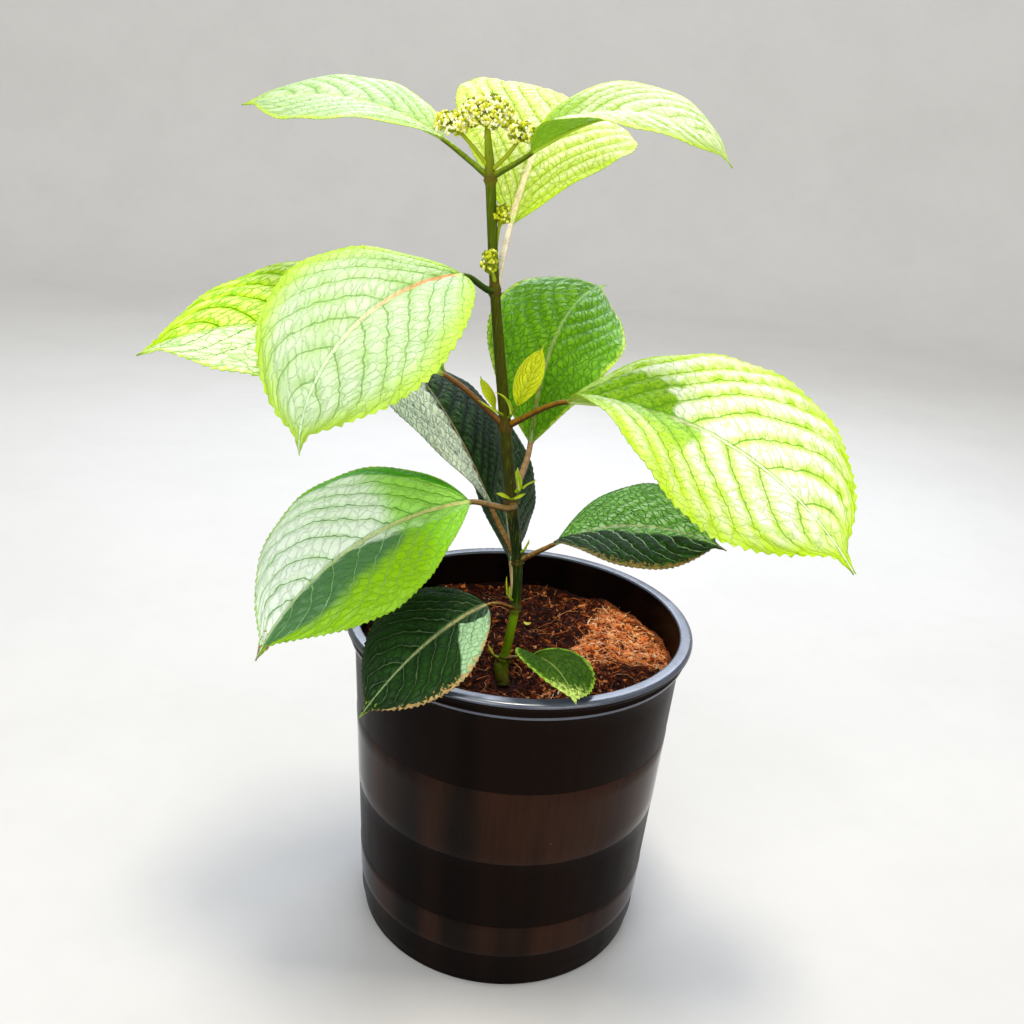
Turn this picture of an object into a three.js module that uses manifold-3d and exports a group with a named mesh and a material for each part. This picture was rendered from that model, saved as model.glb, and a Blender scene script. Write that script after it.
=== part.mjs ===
// A young hydrangea in a nursery pot: one leaning stem, thirteen broad leaves in crossed pairs,
// a few young shoots in their axils and a head of green flower buds at the top.
// Millimetres, +Z up. The origin is the centre of the pot's flat underside.
import * as THREE from 'three';
import { mergeVertices } from 'three/addons/utils/BufferGeometryUtils.js';
import Module from 'manifold-3d';

// Pot
const potHeight = 226;
const potBaseRadius = 97.5;
const potFootHeight = 10;
const potFootRadius = 99.5;
const potShoulderRadius = 109.5;
const potWall = 2;
const potFloor = 3;
const potBevel = 1.5;
const rimRadius = 115;
const rimInnerRadius = 108;
const rimHeight = 5.5;
const rimRound = { side: 0.7, shoulder: 2.5, crown: 0.9 };
const skirtRadius = 112.5;
const skirtBottom = 211;
const skirtStep = 4;
const floorFillet = { width: 4, height: 6 };
const drainRadius = 6;
const drainCircle = 72;
const drainCount = 6;
const drainSides = 10;
const potSegments = 48;

// Growing medium in the pot
const soilHeight = 200;
const soilDip = 4;
const soilSeatRadius = 14;
const soilWaves = 1.6;
const soilSides = 36;
const soilRings = [18, 36, 56, 76, 94];
const clearance = 0.3;
const finest = 0.03;

// Stem, from the soil to the flower head: its foot, its seven joints with a leaf pair each, its tip
const stemFoot = [-7.5, -45, soilHeight - soilDip + clearance];
const joints = [
  [-8, -35, 211],
  [-4, -34, 247],
  [-5, -33, 279],
  [-12, -32, 319],
  [-19, -30, 365],
  [-31, -27, 444],
  [-38, -25, 506],
];
const stemTip = [-41, -24, 528];
const stemRadii = [3.6, 3.1, 2.9, 3.1, 3.9, 3.5, 2.9, 3, 1.8];
const stemFlare = 1.6;
const flareHeight = 7;
const jointSwell = 0.8;
const jointReach = 4;
const stub = { foot: [-9, -43.5, stemFoot[2] + 3], top: [-13, -37.5, 211], radius: 3.4, taper: 0.8 };
const stemSides = 8;
const stemSteps = 40;

// Leaves. Angles are degrees: azimuth turns from +X towards +Y, rise is above the horizontal.
// bend and droop are what the blade turns sideways and down from its base to its tip,
// roll and twist lean it about its midrib, fold is the trough at its base.
const leafThicknessShare = 0.011;
const leafLeastThickness = 1.1;
const baseFullness = 0.86;
const trough = 6;
const edgeCurl = 17;
const dripTip = { share: 0.95, width: 0.16, from: 0.5, full: 0.8, power: 1.1 };
const leastWidth = { base: 0.022, tip: 0.006 };
const petioleHandle = 0.33;
const petioleRadius = { foot: 2.5, middle: 1.9, blade: 1.6, end: 0.7 };
const petioleTuck = [4, 8];
const midribSteps = 60;
const leafRows = 14;
const leafColumns = [-1, -0.6, -0.25, 0, 0.25, 0.6, 1];
const petioleSides = 6;
const petioleSteps = 6;
const leaves = [
  { name: 'leaf_4_right', joint: 4, petiole: [-14, 29, 42], azimuth: -22, bend: -8,
    rise: 12, droop: 65, endDroop: -3, roll: 1, twist: 45, fold: 33, length: 197, width: 132,
    tipFullness: 0.88, color: 0xa9c83a },
  { name: 'leaf_5_front_left', joint: 5, petiole: [225, 22, 27], leaving: [225, 4, 0.4],
    azimuth: 231, bend: -9, rise: 1, droop: 51, endDroop: 42, roll: -10, twist: -22, fold: 16,
    length: 156, width: 109, tipFullness: 0.84, color: 0xb7cf7a },
  { name: 'leaf_4_left', joint: 4, petiole: [178, 36, 48], azimuth: 183, bend: 20,
    rise: 25, droop: 32, endDroop: 21, roll: -26, twist: 9, fold: 42, length: 180, width: 122,
    tipFullness: 0.85, color: 0xa6cc32 },
  { name: 'leaf_5_back', joint: 5, petiole: [74, 60, 41], azimuth: 77, bend: 0,
    rise: 48, droop: 38, endDroop: 13, roll: 13, twist: 5, fold: 42, length: 180, width: 117,
    tipFullness: 0.8, color: 0xb9d45c },
  { name: 'leaf_6_right', joint: 6, petiole: [-11, 34, 27], azimuth: -22, bend: 3,
    rise: 38, droop: 45, endDroop: 45, roll: 19, twist: -11, fold: 40, length: 123, width: 88,
    tipFullness: 0.83, color: 0xa3c148 },
  { name: 'leaf_6_left', joint: 6, petiole: [160, 31, 35], azimuth: 165, bend: 4,
    rise: 29, droop: 54, endDroop: -7, roll: -6, twist: -20, fold: 11, length: 128, width: 89,
    tipFullness: 0.85, color: 0xb2cf66 },
  { name: 'leaf_3_front_left', joint: 3, petiole: [206, 2, 27], leaving: [300, -25, 0.6],
    azimuth: 203, bend: 26, rise: -5, droop: 41, endDroop: 11, roll: -18, twist: 1, fold: 18,
    length: 162, width: 110, tipFullness: 0.95, color: 0x6fa03e },
  { name: 'leaf_1_front_left', joint: 1, petiole: [230, 21, 30], azimuth: 224, bend: -9,
    rise: -5, droop: 60, endDroop: -14, roll: -16, twist: 3, fold: 29, length: 105, width: 75,
    tipFullness: 0.88, color: 0x3f6a34 },
  { name: 'leaf_2_right', joint: 2, petiole: [-18, 36, 29], azimuth: -28, bend: 16,
    rise: 38, droop: 48, endDroop: 12, roll: 8, twist: 23, fold: 28, length: 110, width: 78,
    tipFullness: 0.79, color: 0x3d6b37 },
  { name: 'leaf_2_back_left', joint: 2, petiole: [144, 51, 40], azimuth: 149, bend: -29,
    rise: 60, droop: 39, endDroop: 23, roll: 13, twist: -4, fold: 17, length: 144, width: 93,
    tipFullness: 0.79, color: 0x4b7043 },
  { name: 'leaf_1_back', joint: 1, petiole: [96, 14, 48], azimuth: 109, bend: -20,
    rise: 55, droop: 29, endDroop: -1, roll: 51, twist: -16, fold: 2, length: 124, width: 76,
    tipFullness: 0.79, color: 0x35562d },
  { name: 'leaf_3_back', joint: 3, petiole: [72, 44, 41], azimuth: 84, bend: -27,
    rise: 65, droop: 57, endDroop: 7, roll: 7, twist: 20, fold: 47, length: 160, width: 91,
    tipFullness: 0.8, color: 0x6c9a30 },
  { name: 'leaf_0_right', joint: 0, petiole: [-51, 28, 28], azimuth: -63, bend: -13,
    rise: 26, droop: 33, endDroop: 6, roll: -3, twist: -23, fold: 38, length: 77, width: 49,
    tipFullness: 0.83, color: 0x5f9130 },
];

// Young shoots in the axils: small leaves that leave the stem a little above a joint.
const youngLeafThickness = 0.8;
const youngRadius = { foot: 1.1, middle: 0.9, blade: 0.7, end: 0.3 };
const youngRows = 5;
const youngColumns = [-1, 0, 1];
const youngSides = 4;
const youngSteps = 3;
const shootFoot = { radius: 2, reach: 5.2 };
const shoots = [
  { name: 'shoot_4_right', joint: 4, above: 5, leaflets: [
    { petiole: [-27, 53, 11], azimuth: -12, rise: 70, droop: -2, roll: 62, fold: 30, length: 40, width: 19 },
    { petiole: [-60, 35, 7], azimuth: 215, rise: 88, droop: 78, roll: 0, fold: 25, length: 20, width: 4.5 },
  ] },
  { name: 'shoot_4_left', joint: 4, above: 6, leaflets: [
    { petiole: [185, 30, 8], azimuth: 178, rise: 62, droop: 0, roll: -25, fold: 30, length: 22, width: 10 },
    { petiole: [222, 28, 8], azimuth: 196, rise: 30, droop: 0, roll: 0, fold: 25, length: 14, width: 4.5 },
  ] },
  { name: 'shoot_3_right', joint: 3, above: 6, leaflets: [
    { petiole: [-45, 20, 7], azimuth: 205, rise: 80, droop: 2, roll: 15, fold: 30, length: 15, width: 6 },
    { petiole: [-18, 25, 7], azimuth: -15, rise: 48, droop: 20, roll: 0, fold: 25, length: 11, width: 5 },
  ] },
  { name: 'shoot_3_left', joint: 3, above: 1, leaflets: [
    { petiole: [258, 20, 7], azimuth: 195, rise: 40, droop: 40, roll: -20, fold: 20, length: 9, width: 4 },
    { petiole: [285, 20, 7], azimuth: -10, rise: 36, droop: 10, roll: 20, fold: 20, length: 8, width: 3.5 },
  ] },
  { name: 'shoot_2_right', joint: 2, above: 6, leaflets: [
    { petiole: [-40, 35, 6], azimuth: -30, rise: 70, droop: 0, roll: 0, fold: 35, length: 8, width: 3.6 },
  ] },
  { name: 'shoot_1_left', joint: 1, above: 5, leaflets: [
    { petiole: [190, 35, 6.5], azimuth: 180, rise: 78, droop: -8, roll: 0, fold: 30, length: 13, width: 5 },
    { petiole: [215, 35, 6], azimuth: 200, rise: 86, droop: 0, roll: 0, fold: 30, length: 8, width: 4 },
  ] },
  { name: 'shoot_0_left', joint: 0, above: 0, leaflets: [
    { petiole: [176, 12, 7.5], azimuth: 178, rise: 60, droop: 0, roll: 0, fold: 30, length: 8, width: 4 },
  ] },
];

// Bud clusters: where each one's stalk leaves the stem, where the cluster sits, its radius and bud count.
const budRadius = 1.9;
const stalkRadius = 0.8;
const stalkSides = 5;
const stalkSteps = 5;
const branching = { hub: 0.35, nearFork: 0.3, farFork: 0.55, start: 0.7, thick: 1.3, thin: 0.8, sides: 3 };
const lowestBud = { cluster: -0.8, head: -0.55 };
const clusters = [
  { name: 'buds_5_front', from: 5, above: 4, direction: [255, 50], centre: [-35, -35, 461.5],
    radius: [3, 3, 6], rays: 0, buds: 7, stem: 1.1 },
  { name: 'buds_5_back', from: 5, above: 5, direction: [10, 65], centre: [-30, -26, 487],
    radius: [3, 3, 4.5], rays: 0, buds: 7, stem: 1.1 },
  { name: 'buds_6_left', from: 6, above: 4, direction: [190, 50], centre: [-61, -31, 533],
    radius: [5.5, 4.5, 4], rays: 0, buds: 9, stem: 1.2 },
  { name: 'buds_6_right', from: 6, above: 4, direction: [-20, 38], centre: [-21.5, -30, 531],
    radius: [4.5, 4, 4.5], rays: 0, buds: 8, stem: 1.2 },
];
const head = {
  name: 'flower_head', rays: 5, centre: [-42, -24, 538.5], radius: [11, 11, 8.5], buds: 24, stem: 1.6,
  gap: 1.5 * clearance, shoulder: [-0.3, 0, 4], sides: 8,
};
const goldenAngle = Math.PI * (3 - Math.sqrt(5));

const wasm = await Module();
wasm.setup();
const plant = new THREE.Group();
const radians = THREE.MathUtils.degToRad;
const clamp = THREE.MathUtils.clamp;
const lerp = THREE.MathUtils.lerp;
const vector = (p) => new THREE.Vector3(...p);

function direction(azimuth, rise) {
  const a = radians(azimuth);
  const r = radians(rise);
  return new THREE.Vector3(Math.cos(a) * Math.cos(r), Math.sin(a) * Math.cos(r), Math.sin(r));
}

// A closed solid from corner positions and triangles, turned to face out.
function solid(positions, triangles) {
  const made = new THREE.BufferGeometry();
  made.setAttribute('position', new THREE.Float32BufferAttribute(positions, 3));
  made.setIndex(triangles);
  const merged = mergeVertices(made, 1e-5);
  const p = merged.attributes.position.array;
  const index = [...merged.index.array];
  let volume = 0;
  for (let i = 0; i < index.length; i += 3) {
    const a = new THREE.Vector3().fromArray(p, 3 * index[i]);
    const b = new THREE.Vector3().fromArray(p, 3 * index[i + 1]);
    const c = new THREE.Vector3().fromArray(p, 3 * index[i + 2]);
    volume += a.dot(b.cross(c));
  }
  if (volume < 0) {
    for (let i = 0; i < index.length; i += 3) {
      [index[i], index[i + 1]] = [index[i + 1], index[i]];
    }
  }
  return new wasm.Manifold(new wasm.Mesh({
    numProp: 3, vertProperties: Float32Array.from(p), triVerts: Uint32Array.from(index),
  }));
}

function solidOf(geometry) {
  geometry.deleteAttribute('normal');
  geometry.deleteAttribute('uv');
  const flat = geometry.index ? geometry.toNonIndexed() : geometry;
  const p = flat.attributes.position.array;
  return solid([...p], Array.from({ length: p.length / 3 }, (_, i) => i));
}

function join(parts) {
  return parts.reduce((all, part) => all.add(part));
}

// Of what a cut leaves, the piece that belongs to the plant is the largest.
function largest(body) {
  return body.decompose().reduce((a, b) => (a.volume() > b.volume() ? a : b));
}

function add(name, body, color, roughness) {
  const mesh = body.simplify(finest).getMesh();
  const geometry = new THREE.BufferGeometry();
  geometry.setAttribute('position', new THREE.BufferAttribute(Float32Array.from(mesh.vertProperties), 3));
  geometry.setIndex([...mesh.triVerts]);
  geometry.computeVertexNormals();
  const material = new THREE.MeshStandardMaterial({ color, roughness, metalness: 0 });
  const node = new THREE.Mesh(geometry, material);
  node.name = name;
  plant.add(node);
}

// A limb: a round section carried along points, with a radius at each.
function limb(points, radii, sides) {
  const positions = [];
  const triangles = [];
  let side = new THREE.Vector3(1, 0, 0);
  points.forEach((point, i) => {
    const before = points[Math.max(i - 1, 0)];
    const after = points[Math.min(i + 1, points.length - 1)];
    const along = after.clone().sub(before).normalize();
    if (i === 0 && Math.abs(along.x) > 0.8) side = new THREE.Vector3(0, 0, 1);
    side.addScaledVector(along, -side.dot(along)).normalize();
    const other = along.clone().cross(side);
    for (let k = 0; k < sides; k++) {
      const turn = (2 * Math.PI * k) / sides;
      const corner = point.clone();
      corner.addScaledVector(side, radii[i] * Math.cos(turn));
      corner.addScaledVector(other, radii[i] * Math.sin(turn));
      positions.push(...corner.toArray());
    }
  });
  const last = (points.length - 1) * sides;
  for (let k = 0; k < sides; k++) {
    const next = (k + 1) % sides;
    for (let i = 0; i < points.length - 1; i++) {
      const a = i * sides;
      triangles.push(a + k, a + next, a + sides + next, a + k, a + sides + next, a + sides + k);
    }
    if (k > 0 && k < sides - 1) {
      triangles.push(0, next, k, last, last + k, last + next);
    }
  }
  return solid(positions, triangles);
}

// Stem
const stemCurve = new THREE.CatmullRomCurve3(
  [stemFoot, ...joints, stemTip].map(vector), false, 'catmullrom', 0.5);

// Where the stem passes a joint, and from there straight up by a height.
function axil(joint, above) {
  const place = stemCurve.getPoint((joint + 1) / (joints.length + 1));
  place.z += above;
  return place;
}

function stemRadiusAt(u) {
  const place = Math.min(u * (stemRadii.length - 1), stemRadii.length - 1.001);
  const k = Math.floor(place);
  const point = stemCurve.getPoint(u);
  const nearest = Math.min(...joints.map((joint) => Math.abs(point.z - joint[2])));
  const swell = jointSwell * Math.max(0, 1 - (nearest / jointReach) ** 2);
  const flare = stemFlare * Math.max(0, 1 - (point.z - stemFoot[2]) / flareHeight) ** 2;
  return lerp(stemRadii[k], stemRadii[k + 1], place - k) + swell + flare;
}

function stemSolid(extra) {
  const points = [];
  const radii = [];
  for (let i = 0; i <= stemSteps; i++) {
    points.push(stemCurve.getPoint(i / stemSteps));
    radii.push(stemRadiusAt(i / stemSteps) + extra);
  }
  const foot = vector(stub.foot);
  const top = vector(stub.top);
  const thick = stub.radius + extra;
  const cutBack = [foot, foot.clone().lerp(top, 0.6), top];
  return join([
    limb(points, radii, stemSides),
    limb(cutBack, [thick, thick, thick - stub.taper], stemSides),
  ]);
}

// The foot is cut level, so that the stem stands flat on the growing medium.
const below = new THREE.BoxGeometry(potBaseRadius, potBaseRadius, potBaseRadius);
below.translate(stemFoot[0], stemFoot[1], stemFoot[2] - potBaseRadius / 2);
const stem = stemSolid(0).subtract(solidOf(below));
const stemSpace = stemSolid(clearance);
add('stem', stem, 0x4f6b32, 0.55);

// Leaves
function halfWidth(s, spec) {
  const tipFullness = spec.tipFullness ?? 0.85;
  const m = clamp(s / dripTip.share, 0, 1);
  const peak = baseFullness / (baseFullness + tipFullness);
  const most = peak ** baseFullness * (1 - peak) ** tipFullness;
  const body = (m ** baseFullness * (1 - m) ** tipFullness) / most;
  const narrowing = clamp((1 - s) / (1 - dripTip.full), 0, 1) ** dripTip.power;
  const onset = clamp((s - dripTip.from) / (dripTip.full - dripTip.from), 0, 1);
  const drip = dripTip.width * narrowing * onset;
  return 0.5 * spec.width * (body ** 3 + drip ** 3) ** (1 / 3);
}

// Points, side and upward directions along the midrib, from the blade's base.
function midrib(base, spec) {
  const stations = [];
  const point = base.clone();
  let previous = null;
  for (let i = 0; i <= midribSteps; i++) {
    const s = i / midribSteps;
    const azimuth = spec.azimuth + (spec.bend ?? 0) * s;
    const along = direction(azimuth, spec.rise - spec.droop * s - (spec.endDroop ?? 0) * s * s);
    if (previous) point.addScaledVector(along.clone().add(previous), (0.5 * spec.length) / midribSteps);
    const level = direction(azimuth + 90, 0);
    const up = along.clone().cross(level);
    const roll = radians(spec.roll + (spec.twist ?? 0) * s);
    const side = level.clone().multiplyScalar(Math.cos(roll)).addScaledVector(up, Math.sin(roll));
    const top = up.clone().multiplyScalar(Math.cos(roll)).addScaledVector(level, -Math.sin(roll));
    stations.push({ s, point: point.clone(), along, side, top });
    previous = along;
  }
  return stations;
}

// The blade: a thin shell about the surface that its cross sections sweep out.
function blade(base, spec, rows, columns, thickness) {
  const stations = midrib(base, spec);
  const positions = [];
  const count = columns.length;
  const curl = radians(edgeCurl);
  for (let i = 0; i <= rows; i++) {
    const u = i / rows;
    const s = 0.5 * u + 0.25 * (1 - Math.cos(Math.PI * u));
    const station = stations[Math.round(s * midribSteps)];
    const least = lerp(leastWidth.base, leastWidth.tip, station.s) * spec.width;
    const half = Math.max(halfWidth(station.s, spec), least);
    const lift = radians(spec.fold * (1 - station.s) ** 2 + trough);
    for (const layer of [0.5, -0.5]) {
      for (const t of columns) {
        const slope = lift - curl * Math.abs(t);
        const out = (half * (Math.sin(lift) - Math.sin(slope))) / curl;
        const high = (half * (Math.cos(slope) - Math.cos(lift))) / curl;
        const corner = station.point.clone();
        corner.addScaledVector(station.side, Math.sign(t) * out).addScaledVector(station.top, high);
        corner.addScaledVector(station.top, layer * thickness * Math.cos(t ? slope : 0));
        corner.addScaledVector(station.side, -Math.sign(t) * layer * thickness * Math.sin(slope));
        positions.push(...corner.toArray());
      }
    }
  }
  const triangles = [];
  const quad = (a, b, c, d) => triangles.push(a, b, c, a, c, d);
  const at = (i, layer, j) => (i * 2 + layer) * count + j;
  const end = count - 1;
  for (let i = 0; i < rows; i++) {
    for (let j = 0; j < end; j++) {
      quad(at(i, 0, j), at(i + 1, 0, j), at(i + 1, 0, j + 1), at(i, 0, j + 1));
      quad(at(i, 1, j), at(i, 1, j + 1), at(i + 1, 1, j + 1), at(i + 1, 1, j));
    }
    quad(at(i, 0, 0), at(i, 1, 0), at(i + 1, 1, 0), at(i + 1, 0, 0));
    quad(at(i, 0, end), at(i + 1, 0, end), at(i + 1, 1, end), at(i, 1, end));
  }
  for (let j = 0; j < end; j++) {
    quad(at(0, 0, j), at(0, 0, j + 1), at(0, 1, j + 1), at(0, 1, j));
    quad(at(rows, 0, j), at(rows, 1, j), at(rows, 1, j + 1), at(rows, 0, j + 1));
  }
  return solid(positions, triangles);
}

// A petiole rises from the stem's middle, bends over and runs a little way in under the blade's base.
function petiole(start, leaving, base, spec, radii, sides, steps) {
  const stations = midrib(base, spec);
  const curve = new THREE.CubicBezierCurve3(
    start,
    start.clone().add(leaving),
    base.clone().addScaledVector(stations[0].along, -petioleHandle * base.distanceTo(start)),
    base,
  );
  const points = curve.getPoints(steps);
  const sizes = points.map((_, i) => (i < steps / 2
    ? lerp(radii.foot, radii.middle, Math.min(1, (3 * i) / steps))
    : lerp(radii.middle, radii.blade, (2 * i) / steps - 1)));
  points.push(...petioleTuck.map((k) => stations[k].point));
  sizes.push((radii.blade + radii.end) / 2, radii.end);
  return limb(points, sizes, sides);
}

function leaf(start, spec, rows, columns, thickness, radii, sides, steps) {
  const [azimuth, rise, length] = spec.petiole;
  const base = start.clone().addScaledVector(direction(azimuth, rise), length);
  const [leavingAzimuth, leavingRise, handle] = spec.leaving ?? [azimuth, rise, petioleHandle];
  const leaving = direction(leavingAzimuth, leavingRise).multiplyScalar(handle * length);
  return join([
    blade(base, spec, rows, columns, thickness),
    petiole(start, leaving, base, spec, radii, sides, steps),
  ]).subtract(stemSpace);
}

for (const spec of leaves) {
  const thickness = Math.max(leafLeastThickness, leafThicknessShare * spec.length);
  const scale = Math.min(1, 0.6 + spec.length / 400);
  const radii = Object.fromEntries(Object.entries(petioleRadius).map(([key, r]) => [key, r * scale]));
  const body = leaf(
    vector(joints[spec.joint]), spec, leafRows, leafColumns, thickness, radii, petioleSides, petioleSteps);
  add(spec.name, largest(body), spec.color, 0.5);
}

// Young shoots. The leaflets of one shoot share a short swollen foot.
function withFoot(parts, start, shoot) {
  const middle = new THREE.Vector3();
  shoot.leaflets.forEach(({ petiole: [azimuth, rise] }) => middle.add(direction(azimuth, rise)));
  middle.normalize();
  const foot = new THREE.IcosahedronGeometry(shootFoot.radius, 0);
  foot.translate(...start.clone().addScaledVector(middle, shootFoot.reach).toArray());
  return join([...parts, solidOf(foot)]).subtract(stemSpace);
}

for (const shoot of shoots) {
  const start = axil(shoot.joint, shoot.above);
  const parts = shoot.leaflets.map((spec) => leaf(
    start, spec, youngRows, youngColumns, youngLeafThickness, youngRadius, youngSides, youngSteps));
  const whole = parts.length > 1 ? withFoot(parts, start, shoot) : parts[0];
  add(shoot.name, largest(whole), 0xb5d334, 0.5);
}

// Flower buds
function bud(centre, size) {
  const made = new THREE.OctahedronGeometry(size, 0);
  made.translate(...centre.toArray());
  return solidOf(made);
}

// Buds are dealt out over the upper part of an ellipsoid, each on a stalk that branches from a ray.
function cluster(root, spec, lowest) {
  const centre = vector(spec.centre);
  const parts = [];
  const hub = root.clone().lerp(centre, branching.hub);
  const forks = spec.rays ? [] : [hub];
  for (let k = 0; k < spec.rays; k++) {
    const turn = (2 * Math.PI * k) / spec.rays;
    const spread = new THREE.Vector3(Math.cos(turn) * spec.radius[0], Math.sin(turn) * spec.radius[1], 0);
    const fork = centre.clone().addScaledVector(spread, k % 2 ? branching.farFork : branching.nearFork);
    forks.push(fork);
    parts.push(limb([hub, fork], [stalkRadius * branching.thick, stalkRadius], branching.sides));
  }
  for (let i = 0; i < spec.buds; i++) {
    const height = 1 - ((i + 0.5) / spec.buds) * (1 - lowest);
    const ring = Math.sqrt(1 - height * height);
    const place = centre.clone().add(new THREE.Vector3(
      spec.radius[0] * ring * Math.cos(goldenAngle * i),
      spec.radius[1] * ring * Math.sin(goldenAngle * i),
      spec.radius[2] * height));
    const nearest = forks.reduce((a, b) => (a.distanceTo(place) < b.distanceTo(place) ? a : b));
    parts.push(limb([nearest, place], [stalkRadius, stalkRadius * branching.thin], branching.sides));
    parts.push(bud(place, budRadius));
  }
  return join(parts);
}

for (const spec of clusters) {
  const start = axil(spec.from, spec.above);
  const centre = vector(spec.centre);
  const leaving = direction(...spec.direction).multiplyScalar(0.5 * start.distanceTo(centre));
  const curve = new THREE.QuadraticBezierCurve3(start, start.clone().add(leaving), centre);
  const points = curve.getPoints(stalkSteps);
  const sizes = points.map((_, i) => (i ? spec.stem : spec.stem * branching.thick));
  const buds = cluster(curve.getPoint(branching.start), spec, lowestBud.cluster);
  const whole = join([limb(points, sizes, stalkSides), buds]).subtract(stemSpace);
  add(spec.name, largest(whole), 0xc3d37a, 0.6);
}

const headRoot = vector(stemTip);
headRoot.z += head.gap;
const headFoot = limb(
  [headRoot, headRoot.clone().add(vector(head.shoulder)), vector(head.centre)],
  [stemRadii.at(-1), 0.9 * stemRadii.at(-1), head.stem], head.sides);
add(head.name, largest(join([headFoot, cluster(headRoot, head, lowestBud.head)])), 0xcbd78c, 0.6);

// Pot: one turned profile, out from the middle of the underside, over the rim and back down inside
const lipBottom = potHeight - rimHeight;
const outside = [
  [0, 0],
  [potBaseRadius - potBevel, 0],
  [potBaseRadius, potBevel],
  [potFootRadius - 0.6, 0.6 * potFootHeight],
  [potFootRadius, potFootHeight],
  [potShoulderRadius, skirtBottom],
  [skirtRadius, skirtBottom + 1],
  [skirtRadius, lipBottom],
  [rimRadius - rimRound.side, lipBottom],
  [rimRadius, lipBottom + rimHeight / 2],
  [rimRadius - rimRound.side, potHeight - rimRound.crown],
  [rimRadius - rimRound.shoulder, potHeight],
];
const inside = [
  [rimInnerRadius + rimRound.shoulder, potHeight],
  [rimInnerRadius, potHeight - potBevel],
  [rimInnerRadius, skirtBottom + potWall],
  [potShoulderRadius - potWall, skirtBottom - skirtStep],
  [potFootRadius - potWall, potFloor + floorFillet.height],
  [potFootRadius - potWall - floorFillet.width, potFloor],
  [0, potFloor],
];
const profile = [...outside, ...inside].map(([r, z]) => new THREE.Vector2(r, z));
const turned = new THREE.LatheGeometry(profile, potSegments);
turned.rotateX(Math.PI / 2);
let pot = solidOf(turned);
for (let k = 0; k < drainCount; k++) {
  const turn = (2 * Math.PI * k) / drainCount;
  const drain = new THREE.CylinderGeometry(drainRadius, drainRadius, 4 * potFloor, drainSides);
  drain.rotateX(Math.PI / 2);
  drain.translate(drainCircle * Math.cos(turn), drainCircle * Math.sin(turn), potFloor / 2);
  pot = pot.subtract(solidOf(drain));
}
add('pot', pot, 0x17181b, 0.3);

// Growing medium: it fills the pot to an uneven surface, with a level seat round the stem's foot.
function soilSurface(x, y) {
  const away = Math.hypot(x - stemFoot[0], y - stemFoot[1]);
  const rough = THREE.MathUtils.smoothstep(away, soilSeatRadius, 2.5 * soilSeatRadius);
  const waves = Math.sin(0.09 * x + 1) * Math.cos(0.07 * y) + 0.6 * Math.sin(0.17 * y - 0.11 * x);
  return soilHeight - soilDip * (1 - rough) + rough * soilWaves * waves;
}

const wallFoot = potFloor + floorFillet.height;
const wallSlope = (potShoulderRadius - potFootRadius) / (skirtBottom - skirtStep - wallFoot);
const soilWall = potFootRadius - potWall - clearance;
const soilTopRadius = soilWall + (soilHeight - potFloor) * wallSlope - 1;
const soilPoints = [[0, 0, soilSurface(0, 0)]];
const ringPoint = (radius, k) => [
  radius * Math.cos((2 * Math.PI * k) / soilSides),
  radius * Math.sin((2 * Math.PI * k) / soilSides),
];
for (const radius of [...soilRings, soilTopRadius]) {
  for (let k = 0; k < soilSides; k++) {
    const [x, y] = ringPoint(radius, k);
    soilPoints.push([x, y, soilSurface(x, y)]);
  }
}
const soilFeet = [
  [soilWall - 0.5, wallFoot + 0.5],
  [soilWall - floorFillet.width - 0.5, potFloor + clearance],
];
for (const [radius, z] of soilFeet) {
  for (let k = 0; k < soilSides; k++) {
    soilPoints.push([...ringPoint(radius, k), z]);
  }
}
soilPoints.push([0, 0, potFloor + clearance]);
const soilTriangles = [];
const soilBands = soilRings.length + 1 + soilFeet.length;
const lowest = soilPoints.length - 1;
for (let k = 0; k < soilSides; k++) {
  const next = (k + 1) % soilSides;
  soilTriangles.push(0, 1 + k, 1 + next);
  for (let ring = 0; ring < soilBands - 1; ring++) {
    const a = 1 + ring * soilSides;
    const b = a + soilSides;
    soilTriangles.push(a + k, b + k, b + next, a + k, b + next, a + next);
  }
  const a = 1 + (soilBands - 1) * soilSides;
  soilTriangles.push(lowest, a + next, a + k);
}
add('soil', solid(soilPoints.flat(), soilTriangles), 0x6b3a22, 0.95);

export default plant;
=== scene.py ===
# A potted hydrangea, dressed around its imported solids: pot, growing medium, stem, leaves, shoots and buds.
# Shapes are worked out in millimetres and turned into metres when a mesh is made.
import math

import bpy
import numpy as np
from mathutils import Matrix, Vector


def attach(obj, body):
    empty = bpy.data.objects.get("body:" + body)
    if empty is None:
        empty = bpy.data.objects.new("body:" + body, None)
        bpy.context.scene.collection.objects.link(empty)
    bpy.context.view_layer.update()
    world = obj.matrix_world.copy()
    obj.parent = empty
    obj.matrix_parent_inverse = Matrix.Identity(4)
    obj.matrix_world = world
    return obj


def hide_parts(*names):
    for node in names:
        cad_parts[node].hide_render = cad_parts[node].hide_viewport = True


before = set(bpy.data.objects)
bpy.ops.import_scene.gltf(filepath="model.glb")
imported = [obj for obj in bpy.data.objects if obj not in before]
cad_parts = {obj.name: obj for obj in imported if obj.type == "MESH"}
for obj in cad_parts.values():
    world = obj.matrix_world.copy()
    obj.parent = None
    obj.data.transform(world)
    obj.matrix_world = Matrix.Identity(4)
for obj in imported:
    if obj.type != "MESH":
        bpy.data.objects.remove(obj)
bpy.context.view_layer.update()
mm = 0.001
chance = np.random.default_rng(14)


# Colours and shader nodes

work = {}  # holds the node tree that is being filled


def colour(hexCode):
    channels = [int(hexCode[i:i + 2], 16) / 255 for i in (0, 2, 4)]
    linear = [c / 12.92 if c <= 0.04045 else ((c + 0.055) / 1.055) ** 2.4 for c in channels]
    return (*linear, 1.0)


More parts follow.
